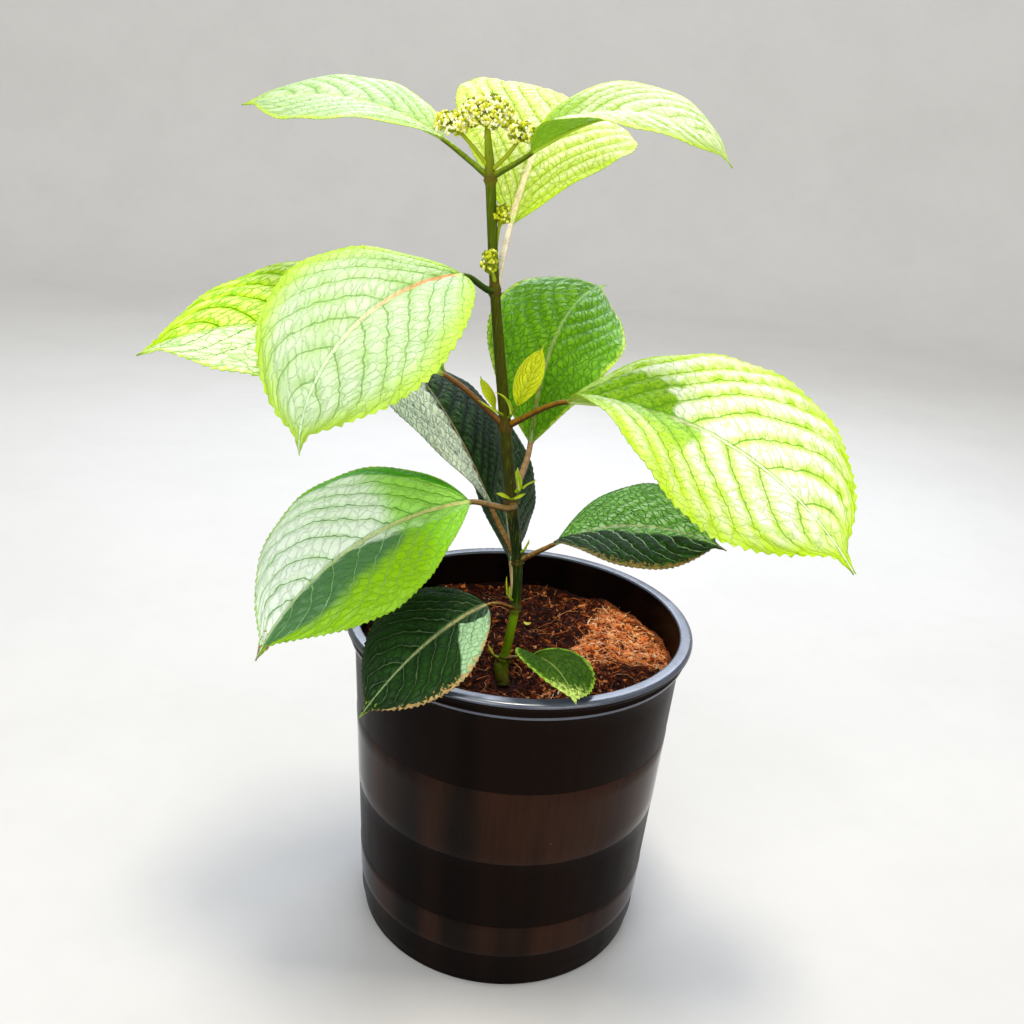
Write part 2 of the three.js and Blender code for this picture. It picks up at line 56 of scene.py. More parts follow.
class Field:
    # a value in the shader tree, which adds, subtracts, multiplies and divides like a number
    def __init__(self, socket):
        self.socket = socket

    def __add__(self, other):
        return calc("ADD", self, other)

    def __mul__(self, other):
        return calc("MULTIPLY", self, other)

    def __sub__(self, other):
        return calc("SUBTRACT", self, other)

    def __rsub__(self, other):
        return calc("SUBTRACT", other, self)

    def __truediv__(self, other):
        return calc("DIVIDE", self, other)

    __radd__ = __add__
    __rmul__ = __mul__


def join(source, socket):
    # a field is linked, a text is a colour, and anything else is the socket's own value
    if isinstance(source, Field):
        work["tree"].links.new(source.socket, socket)
    else:
        socket.default_value = colour(source) if isinstance(source, str) else source


def addNode(kind, inputs=None, **settings):
    # adds a node and returns its outputs as fields, by number and by name
    node = work["tree"].nodes.new("ShaderNode" + kind)
    for name, value in settings.items():
        setattr(node, name, value)
    for name, source in (inputs or {}).items():
        join(source, node.inputs[name])
    return {key: Field(socket) for k, socket in enumerate(node.outputs) for key in (k, socket.name)}


def calc(operation, *values, clamp=False):
    return addNode("Math", dict(enumerate(values)), operation=operation, use_clamp=clamp)[0]


def rise(value, low, high, start=0.0, end=1.0):
    # a smooth step from start to end as value goes from low to high
    sockets = {0: value, 1: low, 2: high, 3: start, 4: end}
    return addNode("MapRange", sockets, interpolation_type="SMOOTHSTEP")[0]


def fall(value, low, high):
    return rise(value, low, high, 1.0, 0.0)


def blendColours(share, first, second):
    return addNode("Mix", {0: share, 6: first, 7: second}, data_type="RGBA")[2]


def noiseAt(place, scale, detail=3.0, rough=0.55, warp=0.0):
    sockets = {"Vector": place, "Scale": scale, "Detail": detail, "Roughness": rough, "Distortion": warp}
    return addNode("TexNoise", sockets)[0]


def stretched(place, factors):
    return addNode("VectorMath", {0: place, 1: factors}, operation="MULTIPLY")[0]


def partsOf(place):
    return addNode("SeparateXYZ", {0: place})


def readPlace(name):
    # the three numbers that a mesh carries at each point under this name
    return partsOf(addNode("Attribute", attribute_name=name)["Vector"])


def newGroup(name, inputs, outputs):
    # starts a group; a text stands for a colour, a number for a value
    tree = bpy.data.node_groups.new(name, "ShaderNodeTree")
    for socketName, value in inputs.items():
        kind = "Color" if isinstance(value, str) else "Float"
        socket = tree.interface.new_socket(socketName, in_out="INPUT", socket_type="NodeSocket" + kind)
        socket.default_value = colour(value) if kind == "Color" else value
    for socketName in outputs:
        kind = "Color" if socketName == "Color" else "Float"
        tree.interface.new_socket(socketName, in_out="OUTPUT", socket_type="NodeSocket" + kind)
    work["tree"] = tree
    return tree, {socket.name: Field(socket) for socket in tree.nodes.new("NodeGroupInput").outputs}


def closeGroup(tree, **outputs):
    target = tree.nodes.new("NodeGroupOutput")
    for name, value in outputs.items():
        join(value, target.inputs[name])
    return tree


def useGroup(group, **values):
    sockets = {name.replace("_", " "): value for name, value in values.items()}
    return addNode("Group", sockets, node_tree=group)


def newMaterial(name, roughness=0.5, shine=0.5):
    # starts a material and returns it with the sockets of its shader
    material = bpy.data.materials.new(name)
    material.use_nodes = True
    work["tree"] = material.node_tree
    shader = material.node_tree.nodes["Principled BSDF"].inputs
    shader["Roughness"].default_value = roughness
    shader["Specular IOR Level"].default_value = shine
    return material, shader


def addBump(shader, height, distance, strength=1.0):
    bump = addNode("Bump", {"Height": height, "Distance": distance, "Strength": strength})
    join(bump["Normal"], shader["Normal"])


def objectPlace():
    # millimetres in the row frame
    return stretched(addNode("TexCoord")["Object"], (1 / mm, 1 / mm, 1 / mm))


def toneMaterials(name, tones, roughness, shine, grain, relief):
    # one plain colour each, with a fine relief; grain = (stretch, scale, detail, roughness) of its noise
    made = []
    for k, code in enumerate(tones):
        material, shader = newMaterial(f"{name}{k}", roughness, shine)
        join(code, shader["Base Color"])
        stretch, *noise = grain
        addBump(shader, noiseAt(stretched(objectPlace(), stretch), *noise), *relief)
        made.append(material)
    return made


# Meshes

def newObject(name, data):
    made = bpy.data.objects.new(name, data)
    bpy.context.scene.collection.objects.link(made)
    return made


def makePiece(name, points, faces, materials, picks=None, attributes=None):
    mesh = bpy.data.meshes.new(name)
    mesh.from_pydata((np.asarray(points, float) * mm).tolist(), [], faces)
    for material in materials:
        mesh.materials.append(material)
    if picks is not None:
        mesh.polygons.foreach_set("material_index", np.asarray(picks, np.int32))
    for key, values in (attributes or {}).items():
        single = np.ndim(values) == 1
        made = mesh.attributes.new(key, "FLOAT" if single else "FLOAT_VECTOR", "POINT")
        made.data.foreach_set("value" if single else "vector", np.asarray(values, np.float32).ravel())
    mesh.shade_smooth()
    mesh.update()
    return newObject(name, mesh)


def settle(piece, node=None):
    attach(piece, "root")
    if node:
        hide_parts(node)
    return piece


def gridFaces(rows, columns, start=0, closed=False):
    # quads over rows x columns points; closed joins each row's last point to its first
    k = np.arange(columns if closed else columns - 1)
    i = np.arange(rows - 1)[:, None]
    after = (k + 1) % columns
    corners = [i * columns + k, (i + 1) * columns + k, (i + 1) * columns + after, i * columns + after]
    return (np.stack(corners, -1).reshape(-1, 4) + start).tolist()


def closedFaces(rows, around):
    # rings of points, and after them one point that closes each end
    faces = gridFaces(rows, around, closed=True)
    count = rows * around
    last = count - around
    for k in range(around):
        after = (k + 1) % around
        faces.append([count, k, after])
        faces.append([count + 1, last + after, last + k])
    return faces


def turnedOver(faces):
    return [face[::-1] for face in faces]


def turns(count):
    return 2 * np.pi * np.arange(count) / count


def ringPoints(radius, high, around):
    # one ring of points for each radius and height
    turn = turns(around)
    return np.stack([radius * np.cos(turn), radius * np.sin(turn), high + 0 * turn], -1).reshape(-1, 3)


def smooth(low, high, x):
    w = np.clip((np.asarray(x, float) - low) / (high - low), 0, 1)
    return w * w * (3 - 2 * w)


def direction(azimuth, rising):
    a = np.radians(azimuth)
    r = np.radians(rising)
    return np.stack([np.cos(a) * np.cos(r), np.sin(a) * np.cos(r), np.sin(r) + 0 * a], -1)


def unit(vectors):
    return vectors / np.linalg.norm(vectors, axis=-1, keepdims=True)


def catmullRom(points, u):
    points = np.array(points, float)
    ends = np.vstack([2 * points[0] - points[1], points, 2 * points[-1] - points[-2]])
    place = np.clip(np.asarray(u, float) * (len(points) - 1), 0, len(points) - 1 - 1e-9)
    k = place.astype(int)
    w = (place - k)[..., None]
    a, b, c, d = ends[k], ends[k + 1], ends[k + 2], ends[k + 3]
    first, second = (c - a) / 2, (d - b) / 2
    cubic, square = 2 * b - 2 * c + first + second, 3 * c - 3 * b - 2 * first - second
    return cubic * w ** 3 + square * w ** 2 + first * w + b


def bezier(handles, u):
    a, b, c, d = (np.asarray(h, float) for h in handles)
    u = np.asarray(u, float)[:, None]
    return a * (1 - u) ** 3 + 3 * b * u * (1 - u) ** 2 + 3 * c * u * u * (1 - u) + d * u ** 3


def tube(points, radii, sides, firstSide=(1, 0, 0), shape=None):
    # a closed limb along points; shape(turn) scales its section, whose turn 90 faces away from firstSide
    points = np.asarray(points, float)
    along = unit(np.gradient(points, axis=0))
    side = np.array(firstSide, float)
    sideways = []
    for a in along:
        side = unit(side - a * (side @ a))
        sideways.append(side)
    sideways = np.array(sideways)[:, None]
    other = np.cross(along[:, None], sideways)
    turn = turns(sides)
    radius = np.asarray(radii, float)
    if radius.ndim == 1:
        radius = radius[:, None] * np.ones(sides)
    if shape:
        radius = radius * shape(turn)
    outward = np.cos(turn)[:, None] * sideways + np.sin(turn)[:, None] * other
    rings = points[:, None] + radius[..., None] * outward
    vertices = np.vstack([rings.reshape(-1, 3), points[:1], points[-1:]])
    return vertices, turnedOver(closedFaces(len(points), sides))


def ballShape(around, rings, seam=0.0, point=1.0):
    # a closed ball of radius 1; seams run down its upper half, and point lengthens its top
    tilt = np.pi * (np.arange(rings)[:, None] + 0.5) / rings
    upper = np.cos(tilt) > -0.2
    radius = np.sin(tilt) * (1 - seam * np.abs(np.sin(2 * turns(around))) * upper)
    points = ringPoints(radius, np.cos(tilt), around)
    return np.vstack([points, [(0, 0, point), (0, 0, -1)]]), closedFaces(rings, around)


class Bundle:
    # gathers meshes into one, each with its own material pick and attribute values
    def __init__(self):
        self.points, self.faces, self.picks, self.values, self.count = [], [], [], {}, 0

    def add(self, points, faces, pick=0, **values):
        shift = self.count
        self.points.append(points)
        self.faces += [[k + shift for k in face] for face in faces]
        self.picks += [pick] * len(faces)
        for key, value in values.items():
            self.values.setdefault(key, []).append(value)
        self.count += len(points)

    def piece(self, name, materials):
        values = {key: np.concatenate(value) for key, value in self.values.items()}
        return makePiece(name, np.vstack(self.points), self.faces, materials, self.picks, values)


# Effects that several materials share

def makeMottle():
    # slow and fine change of tone over a surface
    sockets = {"Base": "808080", "Other": "404040", "Scale": 0.05, "Amount": 0.4, "Fine": 0.2}
    group, source = newGroup("mottle", sockets, ["Color"])
    place = objectPlace()
    slow = rise(noiseAt(place, source["Scale"], 4.0, 0.6), 0.38, 0.66) * source["Amount"]
    fine = rise(noiseAt(place, source["Scale"] * 7.0, 3.0, 0.65), 0.4, 0.7) * source["Fine"]
    share = calc("ADD", slow, fine, clamp=True)
    return closeGroup(group, Color=blendColours(share, source["Base"], source["Other"]))


def makeSpecks():
    # small scattered dots, such as dried water drops, grit and pores
    group, source = newGroup("specks", {"Scale": 0.3, "Size": 0.2, "Share": 0.5}, ["Mask"])
    cells = addNode("TexVoronoi", {"Vector": objectPlace(), "Scale": source["Scale"]})
    pick = partsOf(cells["Color"])[0]
    chosen = calc("LESS_THAN", pick, source["Share"])
    near = calc("LESS_THAN", cells["Distance"], source["Size"] * pick)
    return closeGroup(group, Mask=chosen * near)


def makeVeins():
    # a blade's veins from its own coordinates: place = (along 0..1, across -1..1, vein count), reach in mm,
    # and kind = (underside, stalk, mm from one lateral vein to the next)
    group, source = newGroup(
        "leafVeins", {"Lateral Width": 0.8, "Halo Width": 3.0, "Midrib Width": 1.2, "Net Size": 5.0,
                      "Net Width": 0.1, "Margin Width": 3.0, "Net Depth": 0.6, "Seed": 0.0},
        ["Midrib", "Groove", "Lateral", "Halo", "Net", "Cell", "Margin", "Cloud", "Fine"])
    place, reach, kind = readPlace("place"), readPlace("reach"), readPlace("kind")
    plain = addNode("CombineXYZ", {0: reach[0], 1: reach[1], 2: source["Seed"]})[0]
    cloud = noiseAt(plain, 0.035, 2.0, 0.6)
    fine = noiseAt(plain, 0.45, 3.0, 0.65)
    bent = noiseAt(plain, 0.16, 1.0)
    across = calc("ABSOLUTE", place[1])
    # laterals lie where the vein count is a whole number
    far = (place[2] - calc("ROUND", place[2])) * kind[2]
    far = calc("ABSOLUTE", far + (bent - 0.5) * 4.0)
    beforeTip = rise(place[0], 0.8, 0.95, 1.0, 0.15)
    thin = source["Lateral Width"] * rise(across, 0.0, 1.0, 1.2, 0.5)
    lateral = fall(far, thin * 0.35, thin) * rise(across, 0.6, 1.0, 1.0, 0.35) * beforeTip
    halo = fall(far, 0.2, source["Halo Width"] * (fine * 0.8 + 0.6)) * rise(across, 0.0, 0.8, 0.55, 1.0)
    halo = halo * beforeTip * rise(bent, 0.36, 0.6, 0.35, 1.0)
    # the midrib narrows towards the tip
    width = source["Midrib Width"] * rise(place[0], 0.0, 1.0, 1.2, 0.3)
    middle = calc("ABSOLUTE", reach[1])
    midrib = fall(middle, width * 0.55, width)
    groove = fall(middle, width, width * 2.0) * (1.0 - midrib)
    # rungs and smaller meshes between the laterals
    path = (reach[0] * 0.55 + middle * 0.85) / source["Net Size"] + (fine - 0.5) * 0.9
    ladder = place[2] * 1.35 + bent * 0.7
    side = calc("SIGN", reach[1]) * 4.0 + source["Seed"]
    woven = addNode("CombineXYZ", {0: ladder, 1: path, 2: side})[0]
    edge = addNode("TexVoronoi", {"Vector": woven, "Scale": 1.0}, feature="DISTANCE_TO_EDGE")["Distance"]
    net = fall(edge, 0.0, source["Net Width"])
    cell = rise(edge, 0.0, 0.16, 1.0 - source["Net Depth"]) * rise(far, 0.5, source["Halo Width"] * 1.1)
    margin = fall(reach[2] + (bent - 0.5) * 6.0, 0.0, source["Margin Width"])
    return closeGroup(group, Midrib=midrib, Groove=groove, Lateral=lateral, Halo=halo, Net=net, Cell=cell,
                      Margin=margin, Cloud=cloud, Fine=fine)


def makePatch():
    # one area of a blade: along and across weigh its own coordinates, and the edge lies between low and high
    sockets = {"Along": -1.0, "Across": 0.0, "Low": -0.4, "High": -0.2, "Ragged": 0.15, "Cloud": 0.5}
    group, source = newGroup("leafPatch", sockets, ["Mask"])
    place = readPlace("place")
    value = place[0] * source["Along"] + place[1] * source["Across"]
    stir = (source["Cloud"] - 0.5) * source["Ragged"]
    return closeGroup(group, Mask=rise(value + stir, source["Low"], source["High"]))


mottle = makeMottle()
specks = makeSpecks()
leafVeins = makeVeins()
leafPatch = makePatch()
print("shared effects ready")


# Camera, light and floor

studio = {
    "cameraAt": (-10.9, -637.8, 540.1),  # mm
    "pitch": 20.7,  # degrees down from level
    "roll": 4.639, "focalPixels": 1050, "framePixels": 1024, "sensor": 36.0,
    "clip": (0.01, 50),  # m
    "floorTones": ("d2d0cc", "cccac6"), "skyColour": "e6ecf2", "skyStrength": 0.55,
    # the floor's flat rings, its bend up into a wall and the wall's top, in mm
    "flatRings": (0.001, 200, 500, 1000, 1600), "sweepRadius": 2600, "bendRadius": 700, "bendAngle": 80,
    "sweepHeight": 1500, "wallLean": 150, "around": 96,
    # place, aim and size in m, watts and tint
    "lights": {
        "key": ((0.0, -0.16, 2.95), (0, 0, 0.33), (0.55, 0.55), 45, "fff8ea"),
        "front": ((-0.75, -1.35, 1.2), (0, 0, 0.33), (1.2, 1.0), 14, "f6f8ff"),
        "fill": ((0.75, -1.25, 0.85), (0, 0, 0.33), (1.0, 1.0), 6, "fffaf2"),
        "back": ((0.15, 1.25, 1.2), (0, 0, 0.33), (1.3, 0.6), 15, "e0eaff"),
        "wash": ((0, 0.9, 2.6), (0, 3.3, 0.9), (2.5, 1.0), 26, "f4f6fa"),
    },
}


def makeCamera():
    data = bpy.data.cameras.new("camera")
    data.sensor_width = studio["sensor"]
    data.lens = studio["focalPixels"] / studio["framePixels"] * studio["sensor"]
    data.clip_start, data.clip_end = studio["clip"]
    pitch = math.radians(studio["pitch"])
    roll = math.radians(studio["roll"])
    forward = Vector((0, math.cos(pitch), -math.sin(pitch)))
    level = Vector((1, 0, 0))
    upright = Vector((0, math.sin(pitch), math.cos(pitch)))
    right = math.cos(roll) * level + math.sin(roll) * upright
    up = -math.sin(roll) * level + math.cos(roll) * upright
    turned = Matrix((right, up, -forward)).transposed()
    camera = newObject("camera", data)
    camera.matrix_world = Matrix.Translation(Vector(studio["cameraAt"]) * mm) @ turned.to_4x4()
    bpy.context.scene.camera = camera


def addLight(name, place, aim, size, power, tint):
    data = bpy.data.lights.new(name, "AREA")
    data.shape = "RECTANGLE"
    data.size, data.size_y = size
    data.energy = power
    data.color = colour(tint)[:3]
    lamp = newObject(name, data)
    lamp.location = place
    lamp.rotation_euler = (Vector(aim) - Vector(place)).to_track_quat("-Z", "Y").to_euler()


def makeStudio():
    # a round floor that sweeps up into a pale wall far outside the plant
    bendRadius = studio["bendRadius"]
    bend = np.radians(np.linspace(0, studio["bendAngle"], 14))
    profile = [(r, 0.0) for r in studio["flatRings"]]
    for b in bend:
        profile.append((studio["sweepRadius"] + bendRadius * math.sin(b), bendRadius * (1 - math.cos(b))))
    profile += [(profile[-1][0] + studio["wallLean"], studio["sweepHeight"])]
    profile = np.array(profile)
    points = ringPoints(profile[:, :1], profile[:, 1:], studio["around"])
    faces = turnedOver(gridFaces(len(profile), studio["around"], closed=True))
    material, shader = newMaterial("floorPaint", 0.75)
    base, other = studio["floorTones"]
    painted = useGroup(mottle, Base=base, Other=other, Scale=0.004, Amount=0.5, Fine=0.2)
    join(painted["Color"], shader["Base Color"])
    floor = makePiece("floor", points, faces, [material])
    world = bpy.data.worlds.new("sky")
    world.use_nodes = True
    sky = world.node_tree.nodes["Background"].inputs
    sky["Color"].default_value = colour(studio["skyColour"])
    sky["Strength"].default_value = studio["skyStrength"]
    bpy.context.scene.world = world
    for name, light in studio["lights"].items():
        addLight(name, *light)
    bpy.context.scene.view_settings.view_transform = "Standard"


makeCamera()
makeStudio()
print("camera, light and floor ready")


# Pot

pot = {
    "height": 226.0, "baseRadius": 97.5, "footHeight": 10.0, "footRadius": 99.5, "shoulderRadius": 109.5,
    "wall": 2.0, "floor": 3.0, "rimRadius": 116.2, "rimInner": 107.4, "rimHeight": 5.5,
    "skirtRadius": 112.5, "skirtBottom": 211.0,
    "bands": [(28, 52, 0.35), (52, 104, 0.05), (104, 158, 0.4), (158, 210.5, 0.1)],  # from, to, stands proud
    "ridge": 0.7, "ridgeSpan": (214, 216), "segments": 192,
    "drainRadius": 6.0, "drainCircle": 72.0, "drainCount": 6,
    # the dust colour serves for dried drops and grit, and on faces that look up also as painted sky sheen
    "glossBands": [(28, 52), (104, 158)], "worn": "1c1310", "dustAndSheen": "8a909e",
    # satin, glossy band and rim finishes; the glossy bands' brown tone is a painted reflection on black
    # plastic
    "finishes": [{"tone": "150b07", "dark": "0a0504", "shine": 0.03, "rough": 0.3, "dustAndSheenShare": 0.0},
                 {"tone": "2e190e", "dark": "0b0604", "shine": 0.07, "rough": 0.1, "dustAndSheenShare": 0.0},
                 # the rim's slate-blue tone is painted sky sheen on black plastic
                 {"tone": "3a4152", "dark": "2a303e", "shine": 1.0, "rough": 0.16, "dustAndSheenShare": 0.3}],
    "lipFrom": 223.3,
}


def arc(centre, radius, fromTurn, toTurn, steps):
    turn = np.radians(np.linspace(fromTurn, toTurn, steps))
    return [(centre[0] + radius * math.cos(a), centre[1] + radius * math.sin(a)) for a in turn]


def potWallRadius(z):
    share = (z - pot["footHeight"]) / (pot["skirtBottom"] - pot["footHeight"])
    return pot["footRadius"] + share * (pot["shoulderRadius"] - pot["footRadius"])


def potProfile():
    base = pot["baseRadius"]
    lip = pot["rimHeight"] / 2
    # radius and height, from the middle of the underside round the outside to the floor inside
    out = [(0, 0), (base * 0.4, 0), (base * 0.62, 0), (base * 0.85, 0), (base - 5, 0)]
    out += arc((base - 3, 3), 3, -80, 0, 8)
    out += [(base + 0.6, 7), (potWallRadius(14), 14), (potWallRadius(27.4), 27.4)]
    for low, high, proud in pot["bands"]:
        out.append((potWallRadius(low) + proud * 0.6, low + 0.15))
        out.append((potWallRadius(low) + proud, low + 0.6))
        for z in np.linspace(low, high, 6)[1:-1]:
            out.append((potWallRadius(z) + proud, z))
        out.append((potWallRadius(high) + proud, high - 0.5))
    skirt = pot["skirtRadius"]
    out += [(potWallRadius(211) + 0.4, 211), (skirt - 0.8, 212.4), (skirt, 213.4)]
    ridge = pot["ridge"]
    out += [(skirt + ridge * 0.8, 214.2), (skirt + ridge, 215), (skirt + ridge * 0.8, 215.8)]
    out += [(skirt, 216.6), (skirt, 219), (skirt + 0.3, 220.1)]
    # the rolled rim
    out += arc((pot["rimRadius"] - lip, pot["height"] - lip), lip, -70, 90, 16)
    out += [(111.3, 226), (110.6, 225.95)]
    out += arc((pot["rimInner"] + 1.6, pot["height"] - 1.6), 1.6, 90, 180, 7)
    # the inside
    inner = pot["wall"]
    out += [(pot["rimInner"], 220), (pot["rimInner"], 214)]
    out += [(107.7, 209.5), (potWallRadius(207) - inner, 207)]
    out += [(potWallRadius(z) - inner, z) for z in (203, 198, 190, 150, 100, 50, 15)]
    out += arc((potWallRadius(9) - inner - 5, 8), 5, 0, -90, 6)
    out += [(60, pot["floor"]), (0, pot["floor"])]
    return out


def turnedMesh(profile, around):
    body = np.array(profile[1:-1])
    ends = [(0, 0, profile[0][1]), (0, 0, profile[-1][1])]
    points = np.vstack([ringPoints(body[:, :1], body[:, 1:], around), ends])
    return points, turnedOver(closedFaces(len(body), around))


def potMaterial(name, finish):
    # moulded plastic with faint vertical streaks that are partly flow marks and partly painted reflections,
    # scuffs, dried drops, and dust on faces that look up, tinted blue-grey as painted sky sheen
    material, shader = newMaterial(name, 0.2, finish["shine"])
    place = objectPlace()
    cloud = noiseAt(stretched(place, (1, 1, 0.25)), 0.05, 3.0, 0.65)
    streak = noiseAt(stretched(place, (1, 1, 0.06)), 0.028, 2.0, 0.4)
    scratch = noiseAt(stretched(place, (0.25, 0.25, 2.2)), 0.5, 3.0, 0.75)
    fine = noiseAt(stretched(place, (1, 1, 0.05)), 0.3, 4.0, 0.65)
    drops = useGroup(specks, Scale=0.11, Size=0.2, Share=0.3)["Mask"]
    grit = useGroup(specks, Scale=0.42, Size=0.3, Share=0.2)["Mask"]
    upward = partsOf(addNode("NewGeometry")["Normal"])[2]
    patchy = rise(noiseAt(place, 0.03, 2.0, 0.6), 0.3, 0.7, 0.3, 1.0)
    # dust on faces that look up, tinted blue-grey as painted sky sheen
    dustAndSheenShare = rise(upward, 0.3, 0.95) * finish["dustAndSheenShare"] * patchy
    # vertical stripes between the dark and the main tone: partly flow marks, partly painted reflections
    tone = blendColours(rise(streak, 0.36, 0.58), finish["dark"], finish["tone"])
    tone = blendColours(rise(fine, 0.42, 0.72, 0.0, 0.32), tone, finish["dark"])
    tone = blendColours(rise(scratch, 0.56, 0.68, 0.0, 0.3), tone, pot["worn"])
    tone = blendColours(dustAndSheenShare, tone, pot["dustAndSheen"])
    tone = blendColours(calc("MAXIMUM", drops, grit) * 0.14, tone, pot["dustAndSheen"])
    join(tone, shader["Base Color"])
    rough = rise(cloud, 0.4, 0.7, 0.0, 0.08) + finish["rough"] + calc("MAXIMUM", dustAndSheenShare, drops) * 0.3
    join(rough, shader["Roughness"])
    addBump(shader, cloud * 0.9 + drops * 0.15, 0.0003, 0.4)
    return material


def potFinish(point):
    # which of the pot's finishes a face takes: satin, glossy band or rim
    x, y, z = point
    away = math.hypot(x, y)
    low, high = pot["ridgeSpan"]
    # the rim and the ridge under it take the rim finish, painted slate blue as sky sheen
    if z > pot["lipFrom"] or away > pot["skirtRadius"] + 0.2 and low < z < high:
        return 2
    outside = away > potWallRadius(z) - pot["wall"] / 2
    glossy = any(low < z < high for low, high in pot["glossBands"])
    return 1 if outside and glossy else 0


def makePot():
    points, faces = turnedMesh(potProfile(), pot["segments"])
    names = ("satinBlackPlastic", "glossyBlackPlasticPaintedReflection", "rimBlackPlasticPaintedSheen")
    finishes = [potMaterial(name, finish) for name, finish in zip(names, pot["finishes"])]
    picks = [potFinish(points[face].mean(0)) for face in faces]
    body = makePiece("potBody", points, faces, finishes, picks)
    cutter = Bundle()
    for turn in turns(pot["drainCount"]):
        x, y = pot["drainCircle"] * math.cos(turn), pot["drainCircle"] * math.sin(turn)
        cutter.add(*tube([(x, y, -6), (x, y, 3), (x, y, 9)], [pot["drainRadius"]] * 3, 24))
    holes = cutter.piece("drainCutter", finishes)
    cut = body.modifiers.new("drains", "BOOLEAN")
    cut.object = holes
    cut.solver = "EXACT"
    graph = bpy.context.evaluated_depsgraph_get()
    mesh = bpy.data.meshes.new_from_object(body.evaluated_get(graph), depsgraph=graph)
    piece = newObject("nurseryPot", mesh)
    bpy.data.objects.remove(body)
    bpy.data.objects.remove(holes)
    settle(piece, "pot")


makePot()
print("pot ready")


# Growing medium

soil = {
    "height": 200.0, "dip": 4.0, "seat": 14.0, "waves": 1.6, "radius": 106.6, "rings": 74, "around": 230,
    "foot": (-7.5, -45.0), "grain": 0.28,
    "hidden": [(98, 12), (93, 3.3)],  # radius and height where it meets the pot's floor
    # how many, and sizes in mm as (shape, scale, least) of a gamma draw or (from, to) of an even one
    "crumbs": 7000, "crumbSize": (3.0, 0.19, 0.32),
    "chips": 4200, "chipLength": (3, 0.48, 0.55), "chipWidth": (3, 0.22, 0.32), "chipHeight": (0.25, 0.7),
    "fibres": 4400, "fibreLength": (3.2, 1.5, 1.5), "fibreRadius": (0.12, 0.32), "fibreBow": 0.5,
    "lumps": 90, "lumpSize": (1.2, 3.0),
    "tones": ["8c3c12", "e88038", "fca868", "ffb470", "28100a", "ffcc98", "ffe4bc", "4a1c0e"],
    # shares of the tones where sunlight is painted and where shade is painted
    "sunPaintedShares": [0.16, 0.26, 0.23, 0.15, 0.06, 0.1, 0.03, 0.01],
    "shadePaintedShares": [0.22, 0.07, 0.03, 0.01, 0.26, 0.0, 0.0, 0.41],
    # weight of x, weight of y and the level that bounds the part painted in sunlight; the painted sunlit spot
    # at the front
    "sunPatchEdges": [(1.0, -0.34, 36.0), (0.785, 0.62, 30.1), (0.0, 1.0, -14.0)], "edgeBlur": 2.5,
    "sunSpot": (18, -58, 16),
    # colours of the bare surface in painted shade and in painted sunlight: ground, its mottle, strands and
    # grit
    "shadePainted": ("3c170a", "160703", "5c2410", "6c3418"), "sunPainted": ("9c4c1c", "3c1608", "cc7c40", "f0b078"),
    "scatterReach": 106, "footClear": 8,
    "scrapPlace": (6.4, 38.7), "scrapSize": (2.6, 1.9, 0.45), "scrapTone": "f4e414",
}


def fromFoot(x, y):
    return np.hypot(x - soil["foot"][0], y - soil["foot"][1])


def soilSurface(x, y):
    rough = smooth(soil["seat"], 2.5 * soil["seat"], fromFoot(x, y))
    waves = np.sin(0.09 * x + 1) * np.cos(0.07 * y) + 0.6 * np.sin(0.17 * y - 0.11 * x)
    return soil["height"] - soil["dip"] * (1 - rough) + rough * soil["waves"] * waves


def crumb(x, y):
    # clods and pits a few millimetres across
    value = 0.8 * np.sin(0.41 * x + 0.9 * np.sin(0.23 * y)) * np.sin(0.37 * y + 1.3 * np.sin(0.19 * x + 2))
    value = value + 0.45 * np.sin(0.93 * x + 1.7 * np.sin(0.61 * y + 1)) * np.sin(1.07 * y + 0.4 * x)
    return value * smooth(4, 12, fromFoot(x, y))


def sunPaintedShare(x, y):
    # 1 where sunlight is painted on the medium, 0 where shade is painted
    sunPainted = 1
    for alongX, alongY, level in soil["sunPatchEdges"]:
        sunPainted = sunPainted * smooth(level - soil["edgeBlur"], level + soil["edgeBlur"], alongX * x + alongY * y)
    spotX, spotY, reach = soil["sunSpot"]
    spot = 0.6 * (1 - smooth(0.5 * reach, reach, np.hypot(x - spotX, 1.7 * (y - spotY))))
    return np.maximum(sunPainted, spot)


def soilMaterial():
    material, shader = newMaterial("cocoFibreMedium", 0.95, 0.25)
    place = objectPlace()
    parts = partsOf(place)
    # painted sunlight on the patch inside the sun edges, painted shade elsewhere
    sunPainted = 1.0
    for alongX, alongY, level in soil["sunPatchEdges"]:
        lean = parts[0] * alongX + parts[1] * alongY
        sunPainted = rise(lean, level - soil["edgeBlur"], level + soil["edgeBlur"]) * sunPainted
    ground, other, strands, gritty = [blendColours(sunPainted, *pair) for pair in zip(soil["shadePainted"], soil["sunPainted"])]
    tone = useGroup(mottle, Base=ground, Other=other, Scale=0.09, Amount=0.8, Fine=0.6)["Color"]
    strand = noiseAt(stretched(place, (0.5, 1.6, 1)), 0.9, 5.0, 0.75, 1.5)
    tone = blendColours(rise(strand, 0.5, 0.68), tone, strands)
    grit = useGroup(specks, Scale=0.5, Size=0.45, Share=0.3)["Mask"]
    tone = blendColours(grit * 0.6, tone, gritty)
    join(tone, shader["Base Color"])
    addBump(shader, noiseAt(place, 0.55, 3.0, 0.8), 0.003, 0.9)
    return material


def scatter(count, margin=3.0):
    # places on the surface, clear of the stem's foot and the pot wall
    x, y = np.empty(0), np.empty(0)
    while len(x) < count:
        tryX, tryY = chance.uniform(-soil["scatterReach"], soil["scatterReach"], (2, count))
        clear = fromFoot(tryX, tryY) > soil["footClear"]
        keep = (np.hypot(tryX, tryY) < soil["radius"] - margin) & clear
        x, y = np.append(x, tryX[keep]), np.append(y, tryY[keep])
    x, y = x[:count], y[:count]
    return np.stack([x, y, soilSurface(x, y) + crumb(x, y)], -1)


